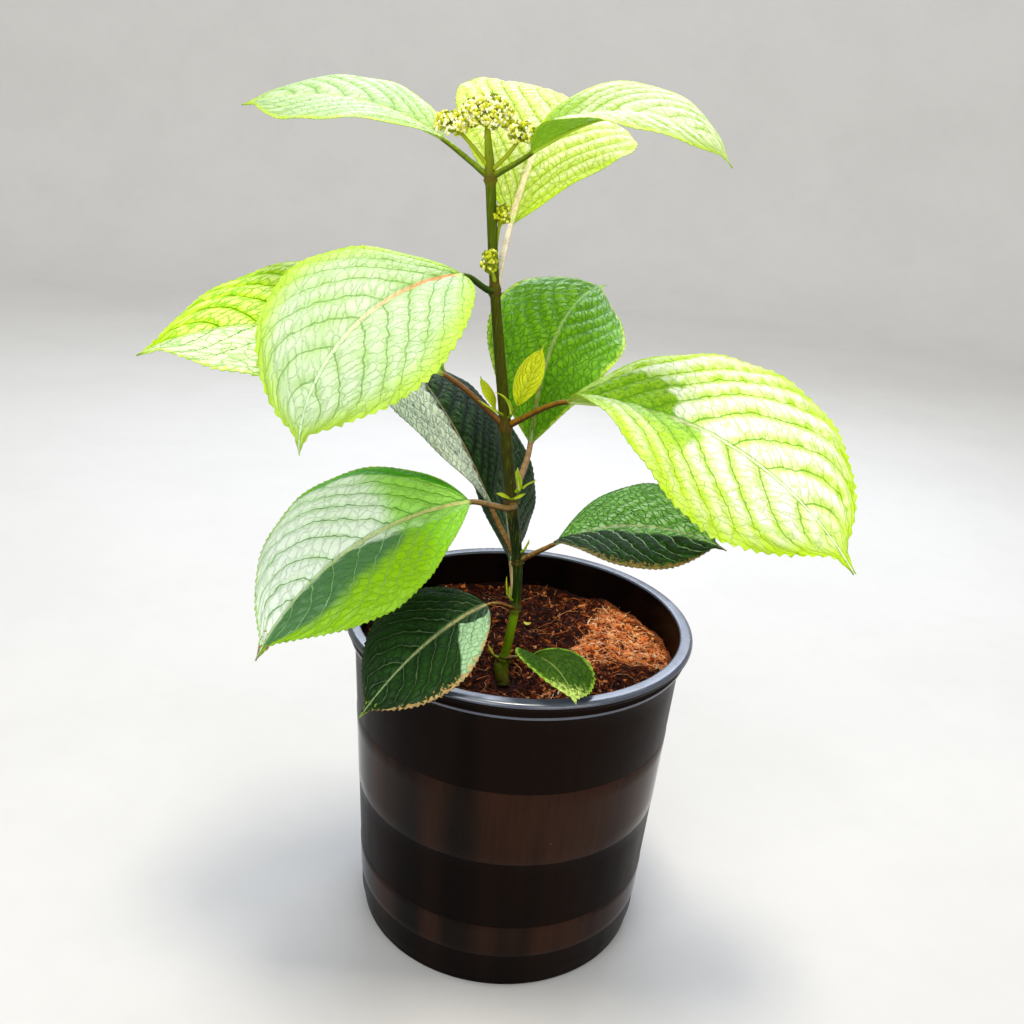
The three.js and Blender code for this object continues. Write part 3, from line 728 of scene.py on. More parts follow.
def tumbled(shapes, tilt):
    # each shape turned its own way: any heading, and a tilt up to so many degrees
    count = len(shapes)
    heading = chance.uniform(0, 2 * np.pi, count)
    lean = np.radians(chance.uniform(-tilt, tilt, count))
    spin = chance.uniform(0, 2 * np.pi, count)
    turned = []
    for h, a, s in zip(heading, lean, spin):
        turned.append(Matrix.Rotation(h, 3, "Z") @ Matrix.Rotation(a, 3, "Y") @ Matrix.Rotation(s, 3, "X"))
    return np.einsum("nij,nkj->nki", np.array(turned), shapes)


def grown(sizes, count):
    # a few large ones among many small ones
    shape, scale, least = sizes
    return chance.gamma(shape, scale, count) + least


def scatteredPiece(name, shapes, shapeFaces, places, materials):
    count, corners = shapes.shape[:2]
    # what would poke through the pot wall is moved inwards
    spread = shapes + places[:, None]
    beyond = np.maximum(0, np.hypot(spread[..., 0], spread[..., 1]).max(1) - soil["radius"])
    places[:, :2] *= (1 - 1.1 * beyond / np.hypot(places[:, 0], places[:, 1]))[:, None]
    points = (shapes + places[:, None]).reshape(-1, 3)
    faces = [[k + first for k in face] for first in range(0, count * corners, corners) for face in shapeFaces]
    # light tones are dealt out where sunlight is painted, dark ones where shade is painted
    sunPainted = sunPaintedShare(places[:, 0], places[:, 1])[:, None]
    shares = np.cumsum(sunPainted * soil["sunPaintedShares"] + (1 - sunPainted) * soil["shadePaintedShares"], axis=1)
    dealt = (chance.uniform(0, 0.999, (count, 1)) > shares).sum(1)
    piece = makePiece(name, points, faces, materials, np.repeat(dealt, len(shapeFaces)))
    piece.data.shade_flat()
    settle(piece)


def makeSurface():
    turn = turns(soil["around"])
    shown = soil["radius"] * np.linspace(0, 1, soil["rings"] + 1)[1:]
    radii = np.append(shown, [radius for radius, _ in soil["hidden"]])
    x, y = radii[:, None] * np.cos(turn), radii[:, None] * np.sin(turn)
    z = soilSurface(x, y) + crumb(x, y) + chance.normal(0, soil["grain"], x.shape)
    for k, (_, height) in enumerate(soil["hidden"]):
        z[len(shown) + k] = height
    ends = [(0, 0, float(soilSurface(0, 0))), (0, 0, soil["hidden"][-1][1])]
    points = np.vstack([np.stack([x, y, z], -1).reshape(-1, 3), ends])
    piece = makePiece("growingMedium", points, closedFaces(len(radii), soil["around"]), [soilMaterial()])
    settle(piece, "soil")


def makeCrumbs(tones):
    # jittered eight-sided grains
    count = soil["crumbs"]
    grain = np.array([(1, 0, 0), (-1, 0, 0), (0, 1, 0), (0, -1, 0), (0, 0, 1), (0, 0, -1)], float)
    faces = [(0, 2, 4), (2, 1, 4), (1, 3, 4), (3, 0, 4), (2, 0, 5), (1, 2, 5), (3, 1, 5), (0, 3, 5)]
    sizes = grown(soil["crumbSize"], (count, 1, 1))
    shapes = tumbled(grain * sizes * chance.uniform(0.6, 1.2, (count, 6, 3)), 60)
    scatteredPiece("crumbs", shapes, faces, scatter(count), tones)


def makeLumps(tones):
    # rounded clods, most of them near the stem
    count = soil["lumps"]
    ball, faces = ballShape(9, 6)
    shapes = ball * chance.uniform(0.85, 1.15, (count, len(ball), 1))
    shapes = shapes * chance.uniform(*soil["lumpSize"], (count, 1, 1))
    shapes = shapes * chance.uniform(0.6, 1.2, (count, 1, 3))
    places = scatter(count, 6)
    places[::2, :2] = np.array(soil["foot"]) + (places[::2, :2] - soil["foot"]) * 0.35
    places = places[fromFoot(places[:, 0], places[:, 1]) > 9]
    places[:, 2] = soilSurface(places[:, 0], places[:, 1]) + 0.6
    scatteredPiece("huskLumps", shapes[:len(places)], faces, places, tones)


def makeChips(tones):
    # flat splinters of husk
    count = soil["chips"]
    box = np.array([(i, j, k) for i in (-1, 1) for j in (-1, 1) for k in (-1, 1)], float)
    faces = [(0, 1, 3, 2), (4, 6, 7, 5), (0, 4, 5, 1), (2, 3, 7, 6), (0, 2, 6, 4), (1, 5, 7, 3)]
    sizes = np.stack([grown(soil["chipLength"], count), grown(soil["chipWidth"], count),
                      chance.uniform(*soil["chipHeight"], count)], -1)
    shapes = tumbled(box * sizes[:, None] * chance.uniform(0.55, 1.15, (count, 8, 3)), 28)
    scatteredPiece("huskChips", shapes, faces, scatter(count, 5) + (0, 0, 0.4), tones)


def makeFibres(tones):
    # thin curved strands lying on and in the crumbs
    count = soil["fibres"]
    steps = np.linspace(-1, 1, 4)
    length = grown(soil["fibreLength"], count)[:, None]
    bow = chance.uniform(-soil["fibreBow"], soil["fibreBow"], (2, count, 1)) * length * (1 - steps ** 2)
    line = np.stack([steps * length, bow[0], np.abs(bow[1]) * 0.6], -1)
    section = np.stack([np.zeros(3), np.cos(turns(3)), np.sin(turns(3))], -1)
    taper = np.array([0.5, 1, 1, 0.4])[:, None, None]
    thick = chance.uniform(*soil["fibreRadius"], (count, 1, 1, 1)) * taper
    shapes = tumbled((line[:, :, None] + section * thick).reshape(count, 12, 3), 16)
    faces = gridFaces(4, 3, closed=True)
    scatteredPiece("cocoFibres", shapes, turnedOver(faces), scatter(count, 8) + (0, 0, 0.5), tones)


def makeScrap():
    # a scrap of yellow petal on top
    ball, faces = ballShape(14, 9)
    scrap = ball * soil["scrapSize"]
    scrap[:, 2] += 0.14 * scrap[:, 0] ** 2 + 0.25 * np.sin(1.8 * scrap[:, 1])
    x, y = soil["scrapPlace"]
    material, shader = newMaterial("yellowPetal", 0.5)
    join(soil["scrapTone"], shader["Base Color"])
    scrap = scrap + (x, y, soilSurface(x, y) + 1.8)
    settle(makePiece("petalScrap", scrap, faces, [material]))


def makeSoil():
    makeSurface()
    tones = toneMaterials("cocoTone", soil["tones"], 0.9, 0.25, ((1, 3, 1), 1.2, 4.0, 0.7), (0.0006, 0.7))
    makeCrumbs(tones)
    makeLumps(tones)
    makeChips(tones)
    makeFibres(tones)
    makeScrap()


makeSoil()
print("growing medium ready")


# Stem

stem = {
    "foot": (-7.5, -45, 196.3),
    "joints": [(-8, -35, 211), (-4, -34, 247), (-5, -33, 279), (-12, -32, 319), (-19, -30, 365),
               (-31, -27, 444), (-38, -25, 506)],
    "tip": (-41, -24, 528),
    "radii": [3.6, 3.1, 2.9, 3.1, 3.9, 3.5, 2.9, 3.0, 1.8],
    "flare": 0.3, "flareHeight": 7.0, "swell": 0.8, "swellReach": 4.0,
    "rows": 460, "sides": 34,
    "stubFoot": (-9, -43.5, 199.3), "stubTop": (-13, -37.5, 211), "stubRadius": 3.4,
    "prongs": [(-1.3, 0.6, 3.6), (1.1, -0.4, 1.8)],  # mm aside, mm back and height
    "light": "7c8a18", "dark": "141c03", "pore": "b3a55c", "ring": "5a4420",
    # height in mm and bark colour, from the foot up; the near-black stretch from 252 to 310 mm is painted
    # shade
    "tones": [(196, "3c3a10"), (204, "56580e"), (213, "6e8c0c"), (240, "78a010"), (247, "4c4c14"),
              (252, "1f3806"), (279, "1a2c06"), (310, "141d04"), (319, "4a3c10"), (330, "32340a"),
              (360, "40400a"), (366, "5a4418"), (376, "46480a"), (440, "464a06"), (446, "584c10"),
              (455, "4a5806"), (500, "4e6204"), (506, "6a6614"), (528, "88a018")],
}
stemLine = [stem["foot"], *stem["joints"], stem["tip"]]


def stemRadius(u, z):
    # the radius along the stem, and how far each height is from the nearest joint
    knots = np.linspace(0, 1, len(stem["radii"]))
    heights = np.array([joint[2] for joint in stem["joints"]])
    near = np.abs(z[:, None] - heights).min(1)
    swell = stem["swell"] * np.maximum(0, 1 - (near / stem["swellReach"]) ** 2)
    flare = stem["flare"] * np.maximum(0, 1 - (z - stem["foot"][2]) / stem["flareHeight"]) ** 2
    return np.interp(u, knots, stem["radii"]) + swell + flare, near


def heightTone(height):
    # the bark's colour from the foot up, with painted shade in its near-black stretch
    low, high = stem["tones"][0][0], stem["tones"][-1][0]
    ramp = work["tree"].nodes.new("ShaderNodeValToRGB")
    join((height - low) / (high - low), ramp.inputs[0])
    band = ramp.color_ramp.elements
    while len(band) < len(stem["tones"]):
        band.new(0.5)
    for element, (level, code) in zip(band, stem["tones"]):
        element.position = (level - low) / (high - low)
        element.color = colour(code)
    return Field(ramp.outputs[0])


def stemMaterial():
    material, shader = newMaterial("greenStemBark", 0.42, 0.08)
    place = objectPlace()
    cloud = noiseAt(stretched(place, (1, 1, 0.3)), 0.16, 4.0, 0.6)
    streak = noiseAt(stretched(place, (2.2, 2.2, 0.12)), 0.5, 4.0, 0.65)
    tone = heightTone(partsOf(place)[2] + (cloud - 0.5) * 14.0)
    tone = blendColours(rise(streak, 0.52, 0.7, 0.0, 0.45), tone, stem["light"])
    tone = blendColours(rise(streak, 0.46, 0.3, 0.0, 0.5), tone, stem["dark"])
    pores = useGroup(specks, Scale=0.55, Size=0.3, Share=0.28)["Mask"]
    tone = blendColours(pores * 0.55, tone, stem["pore"])
    ring = addNode("Attribute", attribute_name="ringShare")["Fac"]
    tone = blendColours(ring * 0.5, tone, stem["ring"])
    join(tone, shader["Base Color"])
    addBump(shader, streak + pores * 0.5, 0.0006, 0.7)
    return material


def makeStem():
    u = np.linspace(0, 1, stem["rows"])
    points = catmullRom(stemLine, u)
    radius, near = stemRadius(u, points[:, 2])
    turn, z = turns(stem["sides"]), points[:, 2:3]
    ridged = 0.07 * np.sin(6 * turn + 0.02 * z) + 0.05 * np.sin(2 * turn + 0.05 * z)
    bark = 0.04 * np.sin(9 * turn + 0.31 * z) * np.sin(0.9 * z + 3 * turn)
    scar = 0.45 * np.exp(-((near - 1.4) / 0.55) ** 2) - 0.3 * np.exp(-(near / 0.5) ** 2)
    whole = Bundle()

    def addLimb(line, radii, sides, rings, shape=None):
        # rings says how strongly the ring tone shows at each step along the line
        vertices, faces = tube(line, radii, sides, shape=shape)
        whole.add(vertices, faces, ringShare=np.append(np.repeat(rings, sides), [0, 1]))

    addLimb(points, (radius + scar)[:, None] + ridged + bark, stem["sides"], np.exp(-(near / 1.6) ** 2))
    # the cut-back old shoot at the foot, with two prongs
    foot, top = np.array(stem["stubFoot"]), np.array(stem["stubTop"])
    w = np.linspace(0, 1, 22)
    body = foot + (top - foot) * w[:, None] * 0.8
    size = stem["stubRadius"] * (1 - 0.25 * w ** 3) * np.where(w > 0.97, 0.6, 1)
    addLimb(body, size, 24, smooth(0.8, 1, w), lambda a: 1 + 0.07 * np.sin(3 * a) + 0.04 * np.sin(7 * a))
    for x, y, height in stem["prongs"]:
        line = body[-4] + (x, y, 0) + np.outer(np.linspace(0, 1, 10), (x * 0.6, y, height))
        addLimb(line, np.linspace(1.5, 0.35, 10), 12, np.linspace(0.2, 1, 10))
    settle(whole.piece("leaningStem", [stemMaterial()]), "stem")


makeStem()
print("stem ready")


# Leaves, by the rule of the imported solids, carried to finer

leafRule = {
    "baseFullness": 0.86, "trough": 6.0, "edgeCurl": 17.0, "tipShare": 0.935, "tipWidth": 0.21,
    "tipFrom": 0.5, "tipFull": 0.8, "tipPower": 1.0, "leastBase": 0.022, "leastTip": 0.006,
    "petioleHandle": 0.33, "radii": (2.5, 1.9, 1.6, 0.7), "steps": 240,
    "thickness": 0.75, "edgeThickness": 0.35, "veinLean": 0.28, "veinArch": 0.36, "veinEase": 0.45,
    "rung": 5.0, "toothCrest": 0.72, "wave": 0.006, "waveLength": 34.0, "fullSpacing": 13.0,
    "grooveWidth": 0.8, "ribWidth": 0.9, "channelAt": 2.0,
}
leafMesh = dict(cell=1.85, sides=18, steps=36, rowsPerTooth=5)


class Rib:
    # the midrib's line and the blade's directions along it
    def __init__(self, base, leaf):
        s = np.linspace(0, 1, leafRule["steps"] + 1)
        azimuth = leaf["azimuth"] + leaf.get("bend", 0) * s
        along = direction(azimuth, leaf["rise"] - leaf["droop"] * s - leaf.get("endDroop", 0) * s * s)
        step = 0.5 * (along[1:] + along[:-1]) * leaf["length"] / leafRule["steps"]
        level = direction(azimuth + 90, 0 * s)
        up = np.cross(along, level)
        roll = np.radians(leaf["roll"] + leaf.get("twist", 0) * s)[:, None]
        self.leaf = leaf
        self.s = s
        self.point = base + np.vstack([np.zeros(3), np.cumsum(step, axis=0)])
        self.along = along
        self.side = level * np.cos(roll) + up * np.sin(roll)
        self.top = up * np.cos(roll) - level * np.sin(roll)

    def at(self, values, s):
        return np.stack([np.interp(s, self.s, values[:, k]) for k in range(3)], -1)

    def half(self, s):
        leaf, rule = self.leaf, leafRule
        m = np.clip(s / rule["tipShare"], 0, 1)
        full, tip = rule["baseFullness"], leaf.get("tipFullness", 0.85)
        peak = full / (full + tip)
        body = m ** full * (1 - m) ** tip / (peak ** full * (1 - peak) ** tip)
        narrow = np.clip((1 - s) / (1 - rule["tipFull"]), 0, 1) ** rule["tipPower"]
        onset = np.clip((s - rule["tipFrom"]) / (rule["tipFull"] - rule["tipFrom"]), 0, 1)
        half = 0.5 * leaf["width"] * (body ** 3 + (rule["tipWidth"] * narrow * onset) ** 3) ** (1 / 3)
        least = (rule["leastBase"] + (rule["leastTip"] - rule["leastBase"]) * s) * leaf["width"]
        return np.maximum(half, least)

    def surface(self, s, y):
        # the point at share s of the length and y mm across, and the upward normal there
        half = self.half(np.clip(s, 0, 1))
        lift = np.radians(self.leaf["fold"] * (1 - np.clip(s, 0, 1)) ** 2 + leafRule["trough"])
        curl = math.radians(leafRule["edgeCurl"])
        slope = lift - curl * np.abs(y) / half
        out = (half * (np.sin(lift) - np.sin(slope)) / curl * np.sign(y))[..., None]
        high = (half * (np.cos(slope) - np.cos(lift)) / curl)[..., None]
        side, top = self.at(self.side, s), self.at(self.top, s)
        point = self.at(self.point, s) + side * out + top * high
        beyond = np.clip(s - 1, 0, 1)[..., None] * self.leaf["length"]
        point = point + beyond * self.along[-1]
        normal = top * np.cos(slope)[..., None] - side * (np.sign(y) * np.sin(slope))[..., None]
        return point, normal


def veinCount(rib, x, y):
    # whole numbers lie on the lateral veins, which leave the midrib and sweep forward beside the margin
    leaf = rib.leaf
    s = x / leaf["length"]
    away = np.clip(np.abs(y) / rib.half(np.clip(s, 0, 1)), 0, 1.1)
    q = s - (leafRule["veinLean"] * away + leafRule["veinArch"] * away ** 2) * (1 - leafRule["veinEase"] * s)
    count = leaf.get("veins", 8) * np.where(q > 0, q, 0.6 * q) + np.where(y < 0, 0.14, 0)
    return count + 0.09 * np.sin(0.11 * x + leaf["seed"]) * np.sin(0.09 * y + 2 * leaf["seed"])


def veinSpacing(rib, x, y, step=0.25):
    # mm from one lateral to the next, measured square to them
    y = np.where(np.abs(y) < 1, np.where(y < 0, -1, 1), y)
    across = (veinCount(rib, x, y + step) - veinCount(rib, x, y - step)) / (2 * step)
    along = (veinCount(rib, x + step, y) - veinCount(rib, x - step, y)) / (2 * step)
    return np.clip(1 / np.maximum(np.hypot(across, along), 1e-3), 1, 30)


def bladeMesh(rib, toothPitch, toothHeight, rowsPerTooth, cell, puff):
    leaf = rib.leaf
    length = leaf["length"]
    seed = leaf["seed"]
    rows = int(rowsPerTooth * 1.12 * length / toothPitch)
    each = max(5, round(leaf["width"] / 2 / cell))
    u = np.linspace(0, 1, each + 1)
    a = 1 - (1 - u) ** 1.15
    a = np.concatenate([-a[:0:-1], a])
    v = np.linspace(0, 1, rows + 1)
    s = (0.72 * v + 0.14 * (1 - np.cos(np.pi * v)))[:, None] + 0 * a
    half = rib.half(s)
    y = half * a
    edge = half - np.abs(y)
    # forward-pointing teeth along each margin, fading at the base and the tip
    teeth = np.zeros_like(y)
    for sign in (-1, 1):
        line, _ = rib.surface(s[:, 0], sign * half[:, 0])
        arcs = np.concatenate([[0], np.cumsum(np.linalg.norm(np.diff(line, axis=0), axis=1))])
        count = arcs / toothPitch + 0.35 * np.sin(0.05 * arcs + seed * (2 + sign))
        part, crest = count % 1, leafRule["toothCrest"]
        saw = np.where(part < crest, part / crest, (1 - part) / (1 - crest)) - 0.45
        size = toothHeight * smooth(0.03, 0.16, s[:, 0]) * (1 - smooth(0.9, 0.99, s[:, 0]))
        size = size * (1 + 0.3 * np.sin(1.7 * np.floor(count) + seed))
        teeth += np.where(np.sign(a)[None] == sign, (saw * size)[:, None], 0)
    near = 1 - smooth(0, 4.2 * toothHeight + 0.5, edge)
    y = y + np.sign(a) * teeth * near
    x = s * length + 0.5 * teeth * near
    point, normal = rib.surface(x / length, y)
    # laterals lie in grooves, the blade puffs up between them, and the margin waves a little
    count = veinCount(rib, x, y)
    spacing = veinSpacing(rib, x, y)
    off = np.abs(count - np.round(count))
    inner = smooth(0.5, 5, np.abs(y)) * smooth(0.2, 7, edge)
    tall = puff * np.clip(spacing / leafRule["fullSpacing"], 0.3, 1) * inner * np.sin(np.pi * off)
    path = 0.55 * x + 0.85 * np.abs(y)
    rungs = 0.4 * tall * np.sin(2 * np.pi * path / leafRule["rung"] + 2.4 * np.floor(count))
    turn = 2 * np.pi * x / leafRule["waveLength"] + seed + np.sign(y)
    wave = leafRule["wave"] * leaf["width"] * (np.abs(y) / half) ** 3 * np.sin(turn)
    vein = np.exp(-(off * spacing / leafRule["grooveWidth"]) ** 2) * inner * (1 - 0.5 * np.abs(a))
    ribTop = np.exp(-(y / leafRule["ribWidth"]) ** 2) * (1 - 0.6 * s)
    channel = np.exp(-(np.abs(y) - leafRule["channelAt"]) ** 2) * (1 - 0.5 * s)
    thin = leafRule["edgeThickness"]
    thick = thin + (leafRule["thickness"] - thin) * smooth(0, 9, edge)
    body = tall + rungs + wave - 0.5 * channel
    above = body + thick / 2 - 0.3 * puff * vein + 0.3 * ribTop
    under = body - thick / 2 - 0.42 * puff * vein
    topSide = point + normal * above[..., None]
    underSide = point + normal * np.minimum(under, above - 0.2)[..., None]
    columns = len(a)
    size = (rows + 1) * columns
    faces = turnedOver(gridFaces(rows + 1, columns)) + gridFaces(rows + 1, columns, size)
    for i in range(rows):
        b, d = i * columns, (i + 1) * columns
        faces.append([b, b + size, d + size, d])
        b, d = b + columns - 1, d + columns - 1
        faces.append([b, d, d + size, b + size])
    for k in range(columns - 1):
        faces.append([k, k + 1, k + 1 + size, k + size])
        b = rows * columns + k
        faces.append([b, b + size, b + 1 + size, b + 1])
    place = np.stack([s, a + 0 * s, count], -1).reshape(-1, 3)
    reach = np.stack([x, y, np.maximum(edge, 0)], -1).reshape(-1, 3)
    kind = np.stack([0 * x, 0 * x, spacing], -1).reshape(-1, 3)
    other = kind + (1, 0, 0)
    points = np.vstack([topSide.reshape(-1, 3), underSide.reshape(-1, 3)])
    return points, faces, np.vstack([place] * 2), np.vstack([reach] * 2), np.vstack([kind, other])


def stalkSection(turn):
    # a channel runs along the upper face
    return 1.04 - 0.2 * np.exp(-((turn - np.pi / 2) / 0.42) ** 2) + 0.05 * np.cos(2 * turn)


def petioleMesh(start, leaf, rib, radii, sides, steps):
    azimuth, rising, length = leaf["petiole"]
    leaveAzimuth, leaveRise, handle = leaf.get("leaving", (azimuth, rising, leafRule["petioleHandle"]))
    base = rib.point[0]
    first = start + direction(leaveAzimuth, leaveRise) * handle * length
    second = base - rib.along[0] * leafRule["petioleHandle"] * np.linalg.norm(base - start)
    u = np.linspace(0.03, 1, steps)
    line = bezier((start, first, second, base), u)
    foot, middle, blade, end = radii
    lower = foot + (middle - foot) * np.minimum(1, 3 * u)
    size = np.where(u < 0.5, lower, middle + (blade - middle) * (2 * u - 1))
    # under the blade it runs on as a rib that narrows to the tip
    s = np.linspace(0, 0.96, 2 * steps)[1:]
    spine, normal = rib.surface(s, 0 * s)
    thin = end * 0.3 + (blade - end * 0.3) * (1 - s) ** 1.6
    spine = spine - normal * (thin * 0.9 * smooth(0, 0.1, s))[:, None]
    # the first side is level, so that turn 90 is the upper face with its channel
    level = unit(np.cross(unit(line[1] - line[0]), (0, 0, 1)))
    whole, sizes = np.vstack([line, spine]), np.concatenate([size, thin])
    vertices, faces = tube(whole, sizes, sides, -level, stalkSection)
    share = np.concatenate([u - 1, s])[:, None]

    def everywhere(*columns):
        # three values for each point of the rings and for the two ends
        rows = [np.broadcast_to(column, (len(share), sides)) for column in columns]
        rows = np.stack(rows, -1).reshape(-1, 3)
        return np.vstack([rows, rows[:1], rows[-1:]])

    place = everywhere(share, 0.0, 0.5)
    reach = everywhere(share * length, 0.0, 20.0)
    kind = everywhere(share > 0, 1.0, np.sin(turns(sides)))
    return vertices, faces, place, reach, kind


plainLook = dict(
    shine=0.12, rough=0.42, relief=0.8, lateralWidth=0.9, haloWidth=3.6, midribWidth=1.5, netSize=4.6,
    netWidth=0.1, netDepth=0.6, marginWidth=3.5, paleShare=0.8, fleckShare=0.3, haloShare=0.6,
    marginShare=0.8, netShare=0.5, lateralShare=0.85, grooveShare=0.5, patches=[], scorch=[])


def over(tone, mask, share, other):
    return blendColours(mask * share, tone, other)


def area(tone, patch, ragged, cloud, veins):
    # one patch of a blade; a pair of colours stands for a light ground and deep veins and flecks
    patchColour, mask, *lines = patch
    if not isinstance(patchColour, str):
        grain = calc("MAXIMUM", veins["Halo"] * 0.8, rise(veins["Fine"], 0.42, 0.7))
        patchColour = blendColours(grain, *patchColour)
    for along, across, low, high in lines:
        edge = useGroup(leafPatch, Along=along, Across=across, Low=low, High=high, Ragged=ragged, Cloud=cloud)
        mask = edge["Mask"] * mask
    return blendColours(mask, tone, patchColour)


def leafMaterial(name, finish, seed):
    look = {**plainLook, **finish}
    material, shader = newMaterial(name, 0.5, look["shine"])
    veins = useGroup(
        leafVeins, Lateral_Width=look["lateralWidth"], Halo_Width=look["haloWidth"], Seed=float(seed),
        Midrib_Width=look["midribWidth"], Net_Size=look["netSize"], Net_Width=look["netWidth"],
        Net_Depth=look["netDepth"], Margin_Width=look["marginWidth"])
    place, kind = readPlace("place"), readPlace("kind")
    below, stalk = kind[0], kind[1]  # the underside and the petiole
    tone = blendColours(rise(veins["Cloud"], 0.35, 0.68), look["blade"], look["cloud"])
    tone = over(tone, veins["Cell"], look["paleShare"], look["pale"])
    tone = over(tone, rise(veins["Fine"], 0.45, 0.75), look["fleckShare"], look["cloud"])
    tone = over(tone, veins["Halo"], look["haloShare"], look["halo"])
    for patch in look["patches"]:
        tone = area(tone, patch, 0.3, veins["Cloud"], veins)
    tone = over(tone, veins["Margin"], look["marginShare"], look["margin"])
    tone = over(tone, veins["Net"], look["netShare"], look["net"])
    veinTone = look["lateral"]
    if "lateralLow" in look:
        veinTone = blendColours(rise(place[1], -0.03, 0.03), veinTone, look["lateralLow"])
    tone = over(tone, veins["Lateral"], look["lateralShare"], veinTone)
    tone = over(tone, veins["Groove"], look["grooveShare"], look["lateral"])
    for patch in look["scorch"]:
        tone = area(tone, patch, 0.5, veins["Fine"], veins)
    ribTone = blendColours(rise(place[0], 0.0, 0.75), look["midribBase"], look["midrib"])
    tone = over(tone, veins["Midrib"], 0.9, ribTone)
    # the underside is duller and paler, with standing veins
    underTone = over(blendColours(0.6, tone, look["under"]), veins["Lateral"], 0.6, look["underVein"])
    tone = blendColours(below, tone, underTone)
    stalkTone = blendColours(rise(kind[2], -0.5, 0.7), look["stalkUnder"], look["stalk"])
    stalkTone = blendColours(rise(veins["Fine"], 0.4, 0.75, 0.0, 0.4), stalkTone, look["stalkUnder"])
    stalkTone = over(stalkTone, stalk, below, look["underVein"])
    join(blendColours(stalk, tone, stalkTone), shader["Base Color"])
    join(veins["Fine"] * 0.18 + (look["rough"] - 0.09) + below * 0.25, shader["Roughness"])
    relief = veins["Fine"] * 0.3 - veins["Net"] * 0.6 - veins["Lateral"] * 0.6
    addBump(shader, relief * (1.0 - below * 2.0), 0.0008, look["relief"])
    return material


# Finishes of the leaves. Patches lie under the veins and scorch lies over them. Each is a colour or a pair
# of them, an amount and the lines that bound it, as (weight along, weight across, low, high).
# some patches and base colours are painted shade, painted sunlight and painted sheen, as said at each leaf
sunny = dict(
    blade="dcf488", cloud="cbf060", pale="f8fce0", halo="c0e848", margin="cdee22", net="b0dc40",
    lateral="7cb42c", midrib="cfe48c", midribBase="c8c868", under="a4c634", underVein="c6da80",
    stalk="8a7a2a", stalkUnder="3d3208", lateralWidth=0.65, lateralShare=0.8, paleShare=0.85,
    midribWidth=1.8)
shaded = dict(
    blade="25441a", cloud="183410", pale="365c2e", halo="1e3c14", margin="35591c", net="1c3812",
    lateral="86a878", midrib="b0bc84", midribBase="c0ae78", under="6f8f5c", underVein="a9bb86",
    stalk="a9803f", stalkUnder="4a3212", paleShare=0.6, netShare=0.4, lateralShare=0.5, lateralWidth=0.5,
    midribWidth=1.2, rough=0.34, marginShare=0.4, haloShare=0.4, netSize=3.6, relief=1)
